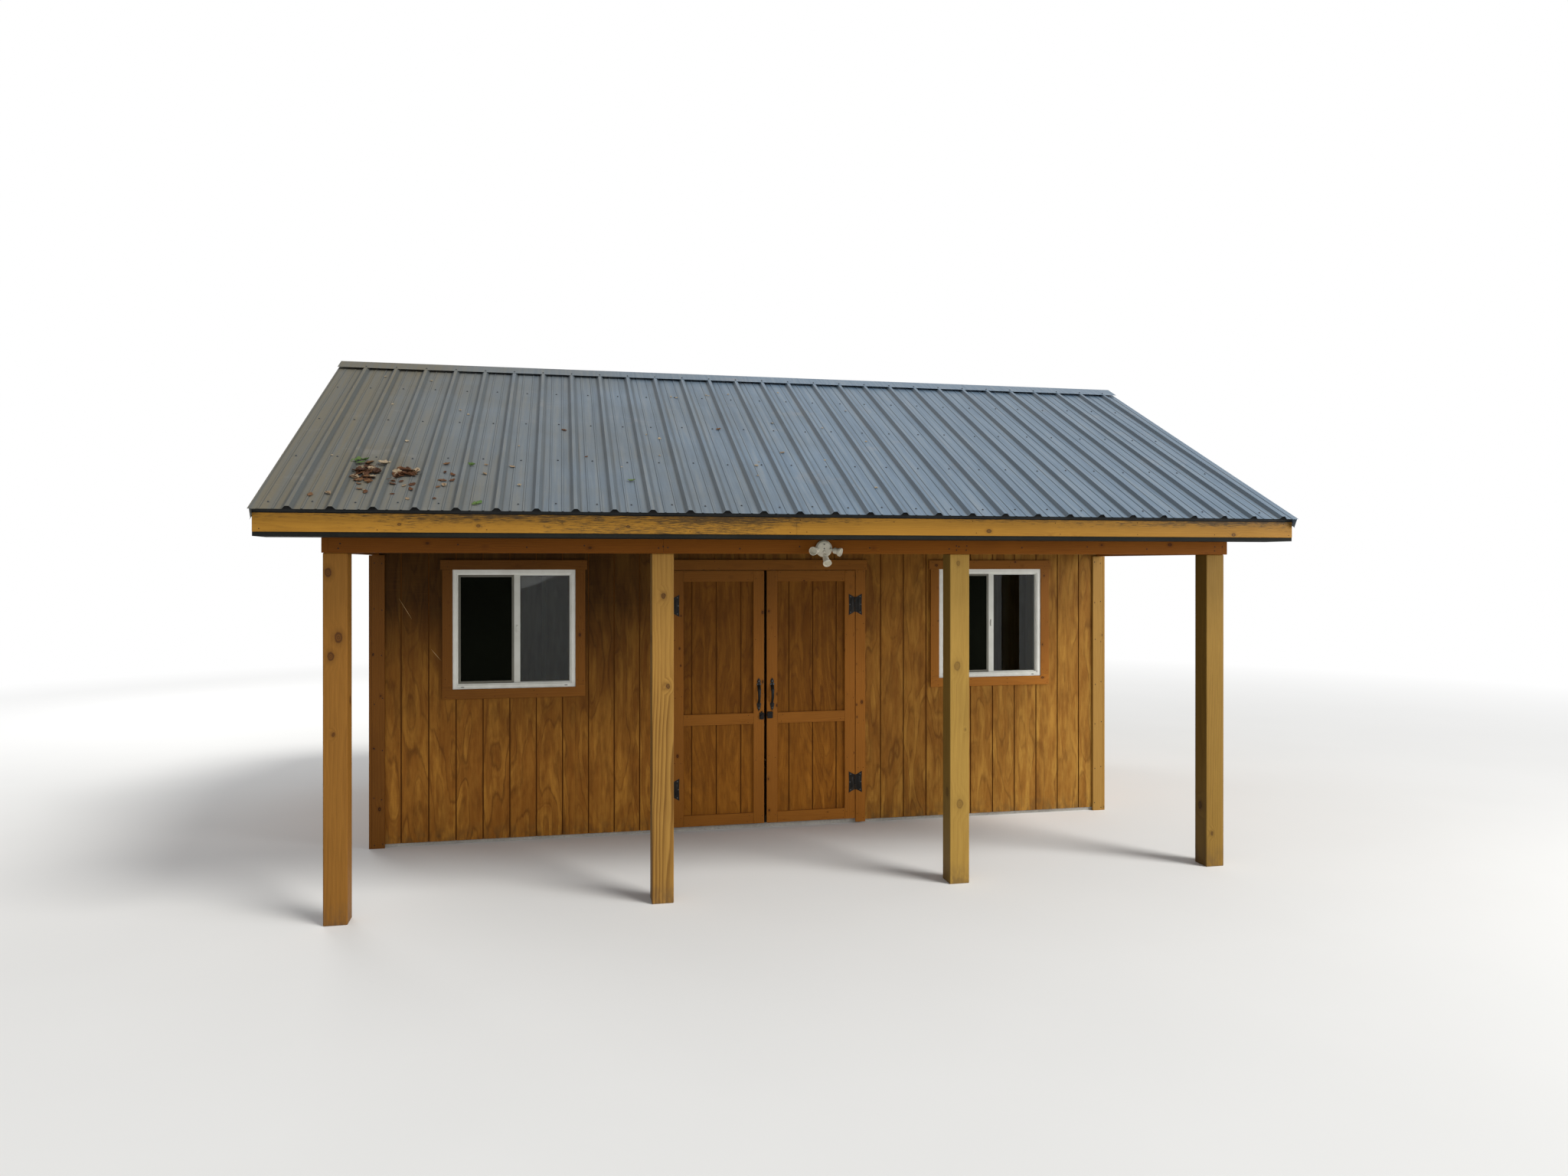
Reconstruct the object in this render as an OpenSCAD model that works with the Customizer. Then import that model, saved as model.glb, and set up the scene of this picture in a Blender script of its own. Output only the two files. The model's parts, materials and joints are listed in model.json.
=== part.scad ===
// Boathouse: a timber shed with an open front porch, double doors and a ribbed metal roof.
// Millimetres. X runs along the front, Y from the porch to the back wall, Z up.
// The origin is on the ground, under the middle of the ridge.

/* [Building] */
// Width over the wall framing and the outer posts
body_w = 6096; // [5900:1:6300]
// Distance from under the ridge to the back wall's face and to the front of the posts
half_depth = 2206; // [2150:1:2300]
// Depth of the open porch, from the front of the posts to the front wall's face
porch_depth = 1776; // [1700:1:1850]
// Height of the underside of the porch beams
beam_z = 2253; // [2240:1:2265]
// Thickness of the floor slab
slab_t = 38; // [30:1:40]
// Gap left between neighbouring boards
board_gap = 1; // [0.5:0.1:2]

/* [Roof] */
// Height of the roof sheets' underside at the eaves
eave_z = 2496; // [2490:1:2500]
// Rise of the roof for each unit of run
roof_slope = 0.5; // [0.48:0.01:0.52]
// Distance that the sheets reach past the posts and the back wall
eave_run = 380; // [370:1:390]
// Distance that the roof reaches past the side wall framing
gable_overhang = 318; // [290:1:330]
// Height of the fascia boards
fascia_h = 140; // [135:1:140]
// Height of the fascia that shows under the eave flashing
fascia_show = 108; // [100:1:112]
// Thickness of the roof sheets
sheet_t = 1.2; // [1:0.1:2]
// Distance between the major ribs of the sheets
rib_pitch = 228.6; // [200:0.1:250]
// Height of a major rib
rib_h = 19; // [12:1:22]
// Width of a major rib at its foot
rib_foot = 58; // [45:1:64]
// Width of a major rib at its top
rib_top = 22; // [15:1:30]
// Height of a minor rib
minor_h = 3; // [2:0.5:5]
// Length of each ridge cap flange
cap_flange = 150; // [120:1:180]

/* [Lumber] */
// Thickness of framing lumber
stud_t = 38; // [38:1:40]
// Width of wall studs and rafters
stud_w = 89; // [89:1:90]
// Side of a porch post
post_w = 140; // [130:1:140]
// Height of the porch beams
beam_h = 286; // [286:1:290]
// Height of joists and of the ridge board
joist_h = 140; // [135:1:140]
// Thickness of trim boards
trim_t = 19; // [16:1:20]
// Thickness of plywood siding
siding_t = 16; // [12:1:18]
// Distance between the siding's grooves
groove_pitch = 203.2; // [150:0.1:210]
// Width of a siding groove
groove_w = 9.5; // [6:0.5:12]
// Depth of a siding groove
groove_d = 6; // [3:0.5:7]
// Thickness of soffit panels
soffit_t = 11; // [9:1:11]

/* [Windows] */
// Distance of each window's centre from the middle of the front
window_x = 2000; // [1950:1:2050]
// Width of a window frame
window_w = 940; // [900:1:960]
// Height of a window's underside above ground
window_z = 1207; // [1150:1:1210]
// Height of a window frame
window_h = 934; // [900:1:940]
// Width of the boards round a window
window_trim_w = 76; // [64:1:89]

/* [Doors] */
// Distance of the doorway's centre from the middle of the front
door_x = 11.5; // [0:0.5:20]
// Width of the doorway between its jambs
door_w = 1547; // [1500:1:1560]
// Height of the doorway above ground
door_top = 2135; // [2100:1:2140]
// Clearance round the leaves
leaf_gap = 5; // [5:0.5:8]
// Gap between the two leaves
middle_gap = 23; // [20:1:26]
// Width of a leaf's trim boards
leaf_trim_w = 89; // [76:1:90]
// Height of the underside of the middle rail
mid_rail_z = 865; // [850:1:880]
// Width of the boards round the doorway
casing_w = 85; // [76:1:89]
// Height of each hinge's centre
hinge_z = [350, 1845];
// Height of the middle of a door pull
pull_z = 1108; // [1080:1:1120]
// Height of the middle of the latch
latch_z = 936; // [920:1:945]

/* [Hidden] */
$fn = 48;

stain = [0.45, 0.24, 0.11];
pine = [0.66, 0.46, 0.20];
raw_lumber = [0.78, 0.62, 0.40];
charcoal = [0.25, 0.28, 0.33];
dark_soffit = [0.10, 0.10, 0.11];
vinyl = [0.90, 0.90, 0.88];
iron = [0.05, 0.05, 0.05];

// Clearance between faces that bear on each other at a slope
seat_gap = 0.3;
// Overlap that makes a cut pass clear through a face
cut = 1;

// Plan positions, from the outside faces inwards
half_w = body_w / 2;
side_face = half_w + siding_t;
wall_face = porch_depth - half_depth;
wall_out = wall_face + siding_t;
wall_in = wall_out + stud_w;
back_out = half_depth - siding_t;
back_in = back_out - stud_w;
side_in = half_w - stud_w;

// Roof planes: n counts up from the purlins' top, s runs down the slope from the ridge
pitch = atan(roof_slope);
eave_y = half_depth + eave_run;
ridge_z = eave_z + roof_slope * eave_y;
slope_len = eave_y / cos(pitch);
roof_edge_x = half_w + gable_overhang;
sheet_edge_lap = 12;
board_edge_x = roof_edge_x - sheet_edge_lap;
rafter_top = -stud_t - seat_gap;
rafter_n = rafter_top - stud_w;
function roof_z(y, n = 0) = eave_z + roof_slope * (eave_y - abs(y)) + n / cos(pitch);
function roof_point(side, s, n) =
    [side * (s * cos(pitch) + n * sin(pitch)), ridge_z - s * sin(pitch) + n * cos(pitch)];
function slope_bar(side, s0, s1, n0, n1) =
    [roof_point(side, s0, n0), roof_point(side, s1, n0), roof_point(side, s1, n1),
     roof_point(side, s0, n1)];

// Beams and eaves
beam_top = beam_z + beam_h;
beam_face = half_depth + stud_t;
sheet_drip = 50;
fascia_face = eave_y - sheet_drip;
fascia_back = fascia_face - stud_t;
fascia_z = 2369;
fascia_joint_x = -196;
soffit_drop = 25;
soffit_z = fascia_z - soffit_drop;
soffit_lip_t = 12;
soffit_setback = 4;
rake_board_h = (roof_z(fascia_back) - fascia_z) * cos(pitch);

// Wall heights
siding_z = 28;
plate_top = 2381;
double_plate = 2 * stud_t;
seat_cut = beam_top - roof_z(beam_face, rafter_n);
back_plate_top = roof_z(back_out, rafter_n) + seat_cut;
ceiling_z = plate_top - soffit_t;

// Siding: the grooves' offset from the middle of the front, and the strips of the back wall
wall_groove_x = -6;
leaf_groove_x = 10;
back_strips = 5;
gable_lap = 60;

// Framing positions
bays = 10;
frame_pitch = (body_w - stud_t) / bays;
frame_xs = [for (i = [0 : bays]) i * frame_pitch - half_w + stud_t / 2];
side_bays = 4;
side_stud_ys = [for (i = [0 : side_bays])
    wall_in + board_gap + stud_t / 2
    + i * (back_in - wall_in - stud_t - 2 * board_gap) / side_bays];
gable_pitch = 600;
gable_reach = 3;

// Purlins: one beside the ridge, three across the slope and one behind the fascia
ridge_purlin_s = 70;
first_purlin_s = 614;
purlin_pitch = 724;
eave_purlin_s = fascia_back / cos(pitch) - stud_w / 2 - board_gap;
purlin_ss = [ridge_purlin_s, for (i = [0 : 2]) first_purlin_s + i * purlin_pitch, eave_purlin_s];

// Ribbed sheets
rib_count = 29;
middle_rib_x = 43;
first_rib_x = middle_rib_x - (rib_count - 1) / 2 * rib_pitch;
minor_w = 16;
minor_offset = 38;
sheet_top_s = 20;
flashing_w = 30;
flashing_drop = 60;
flashing_kick = 6;

// Windows: distances are measured from the window's middle and its underside
half_win = window_w / 2;
flange_w = 31;
track_w = 41;
track_setback = 8;
frame_depth = 70;
frame_recess = 8;
frame_y = wall_face - trim_t + frame_recess;
sash_t = 20;
sash_recess = 22;
sash_play = 3;
fixed_y = frame_y + sash_recess;
slider_y = fixed_y + sash_t + sash_play;
sash_x = half_win - track_w;
sash_z0 = track_w;
sash_z1 = window_h - track_w;
meeting_x = -6;
meeting_w = 47;
bead_w = 7;
slider_bar = 34;
screen_bar = 18;
screen_t = 10;
glass_t = 4;
window_lap = 18;
window_head_overhang = 15;
window_spans = [for (side = [-1, 1]) [side * window_x - half_win, side * window_x + half_win]];

// Doorway
door_l = door_x - door_w / 2;
door_r = door_x + door_w / 2;
door_span = [door_l - trim_t, door_r + trim_t];
casing_z = 12;
leaf_z = slab_t + leaf_gap;
leaf_h = door_top - leaf_gap - leaf_z;
leaf_w = (door_w - 2 * leaf_gap - middle_gap) / 2;
leaf_xs = [door_l + leaf_gap, door_r - leaf_gap - leaf_w];
leaf_face = wall_face - trim_t;
jamb_t = trim_t;
stop_t = 12;
stop_w = 35;
head_overhang = 16;
corner_board_w = 95;

// Hinges: a butterfly plate on each side of a pin in front of the leaf's face
pin_xs = [door_l + leaf_gap / 2, door_r - leaf_gap / 2];
pin_reach = 6;
hinge_pin_y = leaf_face - pin_reach;
hinge_pin_r = 3;
hinge_bore_r = hinge_pin_r + seat_gap;
knuckle_r = 5.5;
hinge_t = 3;
plate_inner = 6.5;
plate_reach = 57.5;
plate_half_h = 90;
plate_waist = 62;
plate_hollow = 3;
knuckle_h = 2 * plate_waist / 3;
knuckle_play = 1;
ridge_x = 31;
ridge_half_w = 11;
ridge_half_h = 43;
ridge_rise = 3;

// Door pulls: an arched grip that tapers downwards, between two cast plates
pull_xs = [leaf_xs[0] + leaf_w - leaf_trim_w / 2, leaf_xs[1] + leaf_trim_w / 2];
grip_half = 75;
grip_rise = 28;
grip_arc_r = (grip_half * grip_half + grip_rise * grip_rise) / (2 * grip_rise);
grip_angle = asin(grip_half / grip_arc_r);
grip_tail = 4;
grip_top_w = 14.5;
grip_foot_w = 9;
grip_depth = 6;
grip_steps = 16;
grip_sides = 16;
collar_z = 37;
collar_h = 8;
collar_grow = 2.5;
spear_h = 61;
tongue_h = 64;
plate_root = 6;
plate_rise = 6;
dome_r = 45;

// Latch
latch_corner_r = 7;
latch_inset = 2;
keeper_w = 38;
keeper_h = 56;
bolt_box_w = 45;
bolt_box_h = 50;
bolt_box_t = 20;

// Porch light: a round plate with three lamp holders, each placed by the two ends of its axis
light_x = 52;
light_z = 2287;
light_plate_r = 56;
light_plate_t = 20;
holder_axes = [
    [[-46, -22, -6], [-92, -84, -18]],
    [[46, -22, -6], [100, -66, -26]],
    [[3, -22, -46], [7, -78, -100]]
];

// Posts: the outer ones flush with the walls, the inner ones beside the doorway
post_xs = [-half_w, -1073, 951, half_w - post_w];

// A box given by its limits along each axis
module box(x0, x1, y0, y1, z0, z1) {
    translate([x0, y0, z0]) cube([x1 - x0, y1 - y0, z1 - z0]);
}

// Extrudes an outline drawn in Y and Z along X
module along_x(x0, x1) {
    translate([x0, 0, 0]) rotate([90, 0, 90]) linear_extrude(x1 - x0) children();
}

// Extrudes an outline drawn in X and Z forwards, from y = 0 to y = -t
module forwards(t) {
    rotate([90, 0, 0]) linear_extrude(t) children();
}

// Repeats the child on the other side of the middle plane
module both_sides() {
    children();
    mirror([1, 0, 0]) children();
}

// Base and porch
module floor_slab() {
    color("dimgray") box(-half_w, half_w, wall_out, back_out, 0, slab_t);
}

module porch_posts() {
    color(pine) for (x = post_xs) box(x, x + post_w, -half_depth, post_w - half_depth, 0, beam_z);
}

module front_beam() {
    joint_x = post_xs[1] + post_w / 2;
    inner = half_w - stud_t;
    color(stain) {
        box(-inner, joint_x - board_gap / 2, -beam_face, stud_t - half_depth, beam_z, beam_top);
        box(joint_x + board_gap / 2, inner, -beam_face, stud_t - half_depth, beam_z, beam_top);
    }
}

module side_beams() {
    color(stain) both_sides()
        box(half_w - stud_t, half_w, -beam_face, wall_face, beam_z, beam_top);
}

// Wall framing
module wall_plates() {
    sides_y0 = wall_in + board_gap;
    sides_y1 = back_in - board_gap;
    upper_z = plate_top - double_plate;
    sole_z = slab_t + stud_t;
    color(raw_lumber) {
        box(-half_w, door_l - jamb_t, wall_out, wall_in, slab_t, sole_z);
        box(door_r + jamb_t, half_w, wall_out, wall_in, slab_t, sole_z);
        box(-half_w, half_w, wall_out, wall_in, upper_z, plate_top);
        box(-half_w, half_w, back_in, back_out, slab_t, sole_z);
        box(-half_w, half_w, back_in, back_out, back_plate_top - double_plate, back_plate_top);
        both_sides() {
            box(side_in, half_w, sides_y0, sides_y1, slab_t, sole_z);
            box(side_in, half_w, sides_y0, sides_y1, upper_z, plate_top);
        }
    }
}

trimmer_xs = [for (span = concat(window_spans, [door_span]))
    each [span[0] - stud_t / 2, span[1] + stud_t / 2]];
function inside(x, span) = x > span[0] && x < span[1];
function near_any(x, places, reach) = len([for (p = places) if (abs(x - p) < reach) p]) > 0;
function in_window(x) = inside(x, window_spans[0]) || inside(x, window_spans[1]);

module stud(x, y0, y1, z1) {
    box(x - stud_t / 2, x + stud_t / 2, y0, y1, slab_t + stud_t, z1);
}

module wall_studs() {
    stud_top = plate_top - double_plate;
    stud_space = 1.5 * stud_t;
    color(raw_lumber) {
        for (x = frame_xs) {
            stud(x, back_in, back_out, back_plate_top - double_plate);
            if (in_window(x)) stud(x, wall_out, wall_in, window_z - stud_t);
            else if (!inside(x, door_span) && !near_any(x, trimmer_xs, stud_space))
                stud(x, wall_out, wall_in, stud_top);
        }
        for (x = trimmer_xs) stud(x, wall_out, wall_in, stud_top);
        for (y = side_stud_ys) both_sides()
            box(side_in, half_w, y - stud_t / 2, y + stud_t / 2, slab_t + stud_t, stud_top);
    }
}

module wall_headers() {
    z1 = plate_top - double_plate;
    color(raw_lumber) {
        for (span = window_spans) {
            box(span[0], span[1], wall_out, wall_in, window_z + window_h, z1);
            box(span[0], span[1], wall_out, wall_in, window_z - stud_t, window_z);
        }
        box(door_span[0], door_span[1], wall_out, wall_in, door_top + jamb_t, z1);
    }
}

// Everything below the roof plane at height n, as an outline in Y and Z
module under_roof(n) {
    polygon([[-eave_y, 0], [eave_y, 0], [eave_y, roof_z(eave_y, n)],
        [0, roof_z(0, n)], [-eave_y, roof_z(eave_y, n)]]);
}

// Studs between the wall or side beam and the end rafters, cut to the roof's slope
module gable_studs() {
    ridge_under = roof_z(stud_t / 2, rafter_top) - joist_h;
    color(raw_lumber) both_sides() intersection() {
        for (k = [-gable_reach : gable_reach])
            box(half_w - stud_t, half_w, k * gable_pitch - stud_w / 2, k * gable_pitch + stud_w / 2,
                k < 0 ? beam_top : plate_top, ridge_under);
        along_x(half_w - stud_t, half_w) under_roof(rafter_n - seat_gap);
    }
}

// Siding: one strip of plywood from x0 to x1, its outer face at y = 0, with vertical grooves
function groove_outline(x) = [
    [x - groove_w / 2, 0], [x - groove_w / 2, groove_d],
    [x + groove_w / 2, groove_d], [x + groove_w / 2, 0]];

module siding_plan(x0, x1, shift) {
    first = ceil((x0 - shift + groove_w) / groove_pitch);
    last = floor((x1 - shift - groove_w) / groove_pitch);
    a = x0 + board_gap / 2;
    b = x1 - board_gap / 2;
    polygon(concat(
        [[a, 0]],
        [for (k = [first : 1 : last]) each groove_outline(k * groove_pitch + shift)],
        [[b, 0], [b, siding_t], [a, siding_t]]));
}

module siding_strip(x0, x1, z0, z1, shift = 0) {
    translate([0, 0, z0]) linear_extrude(z1 - z0) siding_plan(x0, x1, shift);
}

module front_strip(x0, x1, z0, z1, shift = wall_groove_x) {
    translate([0, wall_face, 0]) siding_strip(x0, x1, z0, z1, shift);
}

// The front wall from x0 to x1 is in strips beside, under and over its window
module front_siding(x0, x1, window) {
    color(stain) {
        front_strip(x0, window[0], siding_z, plate_top);
        front_strip(window[0], window[1], siding_z, window_z);
        front_strip(window[0], window[1], window_z + window_h, plate_top);
        front_strip(window[1], x1, siding_z, plate_top);
    }
}

module front_siding_left() {
    front_siding(-side_face, door_span[0], window_spans[0]);
}

module front_siding_right() {
    front_siding(door_span[1], side_face, window_spans[1]);
}

module front_siding_over_door() {
    color(stain) front_strip(door_span[0], door_span[1], door_top + jamb_t, plate_top);
}

module back_siding() {
    strip_w = 2 * side_face / back_strips;
    color(stain) translate([0, half_depth, 0]) rotate([0, 0, 180])
        for (i = [0 : back_strips - 1])
            siding_strip(i * strip_w - side_face, (i + 1) * strip_w - side_face, siding_z,
                roof_z(half_depth, rafter_n));
}

// A side wall with its gable, which runs on over the porch above the side beam
module side_strip(y0, y1, z0) {
    translate([-side_face, 0, 0]) rotate([0, 0, -90]) siding_strip(-y1, -y0, z0, ridge_z);
}

module side_siding() {
    porch_joint = (wall_out - beam_face) / 2;
    room_joint = (wall_out + back_out) / 2;
    color(stain) intersection() {
        union() {
            side_strip(-beam_face, porch_joint, beam_top - gable_lap);
            side_strip(porch_joint, wall_out, beam_top - gable_lap);
            side_strip(wall_out, room_joint, siding_z);
            side_strip(room_joint, back_out, siding_z);
        }
        along_x(-side_face - cut, cut - half_w) under_roof(rafter_top);
    }
}

module left_siding() {
    side_siding();
}

module right_siding() {
    mirror([1, 0, 0]) side_siding();
}

// Corner boards: at each corner a front or back board laps the edge of a side board
module corner_boards() {
    front_y = wall_face - trim_t;
    back_y = half_depth + trim_t;
    side_x = side_face + trim_t;
    x0 = side_face - corner_board_w;
    x1 = side_face - board_gap;
    color(stain) both_sides() {
        box(x0, x1, front_y, wall_face, 0, beam_z);
        box(side_face, side_x, front_y, wall_face + stud_w, 0, beam_z);
        box(x0, x1, half_depth, back_y, 0, soffit_z);
        box(side_face, side_x, half_depth - stud_w, back_y, 0, soffit_z);
    }
}

// Doorway: jambs with stops, and the boards round them
module jamb_outline() {
    stop_y = siding_t + leaf_gap;
    jamb_d = siding_t + stud_w;
    polygon([[0, 0], [jamb_t, 0], [jamb_t, stop_y], [jamb_t + stop_t, stop_y],
        [jamb_t + stop_t, stop_y + stop_w], [jamb_t, stop_y + stop_w], [jamb_t, jamb_d],
        [0, jamb_d]]);
}

module door_jambs() {
    side_top = door_top - board_gap;
    color(stain) {
        translate([door_span[0], wall_face, slab_t]) linear_extrude(side_top - slab_t)
            jamb_outline();
        translate([door_span[1], wall_face, slab_t]) mirror([1, 0, 0])
            linear_extrude(side_top - slab_t) jamb_outline();
        box(door_span[0], door_span[1], wall_face, wall_in, door_top, door_top + jamb_t);
    }
}

module door_casing() {
    head_reach = casing_w + head_overhang;
    color(stain) {
        box(door_l - casing_w, door_l, leaf_face, wall_face, casing_z, door_top - board_gap);
        box(door_r, door_r + casing_w, leaf_face, wall_face, casing_z, door_top - board_gap);
        box(door_l - head_reach, door_r + head_reach, leaf_face, wall_face, door_top,
            door_top + casing_w);
    }
}

// A rectangular ring with its own bar width on each side
module ring(x0, x1, y0, y1, z0, z1, left, right, foot, head) {
    difference() {
        box(x0, x1, y0, y1, z0, z1);
        box(x0 + left, x1 - right, y0 - cut, y1 + cut, z0 + foot, z1 - head);
    }
}

module even_ring(x0, x1, y0, y1, z0, z1, bar) {
    ring(x0, x1, y0, y1, z0, z1, bar, bar, bar, bar);
}

// Windows: a frame with a fixed pane on the right, a sliding one on the left and a screen
module at_windows() {
    for (side = [-1, 1]) translate([side * window_x, 0, window_z]) children();
}

module window_frames() {
    back_y = frame_y + frame_depth;
    color(vinyl) at_windows() {
        even_ring(-half_win, half_win, frame_y, back_y, 0, window_h, flange_w);
        even_ring(-half_win, half_win, frame_y + track_setback, back_y, 0, window_h, track_w);
    }
}

module window_sashes() {
    slider_x1 = meeting_x + meeting_w;
    color(vinyl) at_windows() {
        even_ring(-sash_x, slider_x1, slider_y, slider_y + sash_t, sash_z0, sash_z1, slider_bar);
        ring(meeting_x, sash_x, fixed_y, fixed_y + sash_t, sash_z0, sash_z1,
            meeting_w, bead_w, bead_w, bead_w);
    }
}

module window_glass() {
    inset = (sash_t - glass_t) / 2;
    slider_glass_y = slider_y + inset;
    fixed_glass_y = fixed_y + inset;
    slider_x1 = meeting_x + meeting_w;
    color("lightsteelblue") at_windows() {
        box(slider_bar - sash_x, slider_x1 - slider_bar, slider_glass_y, slider_glass_y + glass_t,
            sash_z0 + slider_bar, sash_z1 - slider_bar);
        box(slider_x1, sash_x - bead_w, fixed_glass_y, fixed_glass_y + glass_t,
            sash_z0 + bead_w, sash_z1 - bead_w);
    }
}

module insect_screens() {
    mesh_t = 1;
    mesh_y = fixed_y + screen_t / 2;
    color("darkslategray") at_windows() {
        even_ring(-sash_x, meeting_x, fixed_y, fixed_y + screen_t, sash_z0, sash_z1, screen_bar);
        box(screen_bar - sash_x, meeting_x - screen_bar, mesh_y, mesh_y + mesh_t,
            sash_z0 + screen_bar, sash_z1 - screen_bar);
    }
}

// The board under a window is notched, so that its ends come up beside the frame
module window_sill_board() {
    reach = half_win + window_trim_w;
    translate([0, wall_face, 0]) forwards(trim_t) polygon([
        [-reach, -window_trim_w], [reach, -window_trim_w], [reach, window_lap],
        [half_win, window_lap], [half_win, 0], [-half_win, 0], [-half_win, window_lap],
        [-reach, window_lap]]);
}

module window_trim() {
    reach = half_win + window_trim_w;
    head_reach = reach + window_head_overhang;
    color(stain) at_windows() {
        both_sides() box(half_win, reach, leaf_face, wall_face, window_lap + board_gap,
            window_h - board_gap);
        box(-head_reach, head_reach, leaf_face, wall_face, window_h, window_h + window_trim_w);
        window_sill_board();
    }
}

// Roof framing
module ceiling_joists() {
    color(raw_lumber) for (i = [1 : bays - 1])
        box(frame_xs[i] - stud_t / 2, frame_xs[i] + stud_t / 2, stud_t - half_depth, back_in,
            plate_top, plate_top + joist_h);
}

// One rafter: plumb cuts at the ridge and the fascia, and a notch over its bearing
module rafter_outline(side, bearing, seat) {
    seat_y = eave_y - (seat - eave_z - rafter_n / cos(pitch)) / roof_slope;
    polygon([
        [side * stud_t / 2, roof_z(stud_t / 2, rafter_top)],
        [side * fascia_back, roof_z(fascia_back, rafter_top)],
        [side * fascia_back, roof_z(fascia_back, rafter_n)],
        [side * bearing, roof_z(bearing, rafter_n)],
        [side * bearing, seat], [side * seat_y, seat],
        [side * stud_t / 2, roof_z(stud_t / 2, rafter_n)]]);
}

module rafters() {
    color(raw_lumber) for (x = frame_xs) {
        along_x(x - stud_t / 2, x + stud_t / 2) rafter_outline(-1, beam_face, beam_top);
        along_x(x - stud_t / 2, x + stud_t / 2) rafter_outline(1, back_out, back_plate_top);
    }
}

module ridge_board() {
    top = roof_z(stud_t / 2, rafter_top);
    color(raw_lumber) box(-half_w, half_w, -stud_t / 2, stud_t / 2, top - joist_h, top);
}

module purlins() {
    reach = board_edge_x - stud_t;
    color(raw_lumber) for (side = [-1, 1]) for (s = purlin_ss)
        along_x(-reach, reach)
            polygon(slope_bar(side, s - stud_w / 2, s + stud_w / 2, -stud_t, 0));
}

// Ribbed sheets: the profile across the slope, with its pans at height n
function trapezoid(x, foot, top, h, n) = [
    [x - foot / 2, n], [x - top / 2, n + h], [x + top / 2, n + h], [x + foot / 2, n]];
function minor_rib(x, n) = trapezoid(x, minor_w, minor_w / 2, minor_h, n);
function minor_ribs(x, n) = concat(minor_rib(x - minor_offset, n), minor_rib(x + minor_offset, n));
function sheet_line(n) = concat(
    [[-roof_edge_x, n]],
    [for (i = [0 : rib_count - 1]) let (x = first_rib_x + i * rib_pitch) each concat(
        trapezoid(x, rib_foot, rib_top, rib_h, n),
        i == rib_count - 1 ? [] : minor_ribs(x + rib_pitch / 2, n))],
    [[roof_edge_x, n]]);
function reversed(list) = [for (i = [len(list) - 1 : -1 : 0]) list[i]];

// Extrudes an outline drawn in X and n down the front slope, from s0 to s1
module down_front_slope(s0, s1) {
    translate([0, 0, ridge_z]) rotate([90 + pitch, 0, 0]) translate([0, 0, s0])
        linear_extrude(s1 - s0) children();
}

module roof_sheet() {
    color(charcoal) down_front_slope(sheet_top_s, slope_len)
        polygon(concat(sheet_line(seat_gap + sheet_t), reversed(sheet_line(seat_gap))));
}

module front_roof_sheet() {
    roof_sheet();
}

module back_roof_sheet() {
    mirror([0, 1, 0]) roof_sheet();
}

module ridge_cap() {
    n0 = 2 * seat_gap + sheet_t + rib_h;
    n1 = n0 + sheet_t;
    color(charcoal) along_x(-roof_edge_x, roof_edge_x) polygon([
        roof_point(-1, cap_flange, n0), roof_point(-1, cap_flange, n1), [0, roof_z(0, n1)],
        roof_point(1, cap_flange, n1), roof_point(1, cap_flange, n0), [0, roof_z(0, n0)]]);
}

// Folded strips over the rake boards, under the sheets' edges
module rake_flashing() {
    b = board_edge_x;
    n0 = -seat_gap - sheet_t;
    kick_n = -flashing_drop - flashing_kick;
    top_s = flashing_drop + flashing_kick;
    color(charcoal) both_sides() for (side = [0, 1]) mirror([0, side, 0])
        down_front_slope(top_s, slope_len) polygon([
            [b - flashing_w, n0], [b + seat_gap, n0], [b + seat_gap, -flashing_drop],
            [b + flashing_kick, kick_n], [b + flashing_kick + sheet_t, kick_n],
            [b + seat_gap + sheet_t, -flashing_drop], [b + seat_gap + sheet_t, -seat_gap],
            [b - flashing_w, -seat_gap]]);
}

// Folded strips under the sheets' lower edges, which lap the fascia boards. At each end only the
// hanging leg runs on, below the rake flashing
module eave_flashing() {
    y0 = fascia_face;
    y1 = y0 + sheet_t;
    z0 = fascia_z + fascia_show;
    z1 = z0 + flashing_kick;
    n0 = -seat_gap - sheet_t;
    end_top = roof_z(y1, n0 - seat_gap);
    lap_reach = board_edge_x - flashing_w - board_gap;
    color(charcoal) for (side = [0, 1]) mirror([0, side, 0]) {
        along_x(-board_edge_x, board_edge_x) polygon([
            [y0, z1], [y0 + flashing_kick, z0], [y1 + flashing_kick, z0], [y1, z1],
            [y1, end_top], [y0, end_top]]);
        along_x(-lap_reach, lap_reach) polygon([
            [fascia_back, roof_z(fascia_back, n0)], [y0, roof_z(y0, n0)], [y0, z1], [y1, z1],
            [y1, roof_z(y1, -seat_gap)], [fascia_back, roof_z(fascia_back, -seat_gap)]]);
    }
}

// Eaves and rakes
module fascia_boards() {
    reach = board_edge_x;
    top = fascia_z + fascia_h;
    color(pine) for (span = [[-reach, fascia_joint_x], [fascia_joint_x + board_gap, reach]]) {
        box(span[0], span[1], -fascia_face, -fascia_back, fascia_z, top);
        box(span[0], span[1], fascia_back, fascia_face, fascia_z, top);
    }
}

// A board or panel that follows the slope from the ridge to y1, between heights n0 and n1
module rake_strip(side, y1, n0, n1) {
    y0 = board_gap / 2;
    polygon([
        [side * y0, roof_z(y0, n1)], [side * y1, roof_z(y1, n1)],
        [side * y1, roof_z(y1, n0)], [side * y0, roof_z(y0, n0)]]);
}

module rake_boards() {
    top_n = -sheet_t - 2 * seat_gap;
    color(pine) both_sides() for (side = [-1, 1])
        along_x(board_edge_x - stud_t, board_edge_x)
            rake_strip(side, fascia_back, -rake_board_h, top_n);
}

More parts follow.
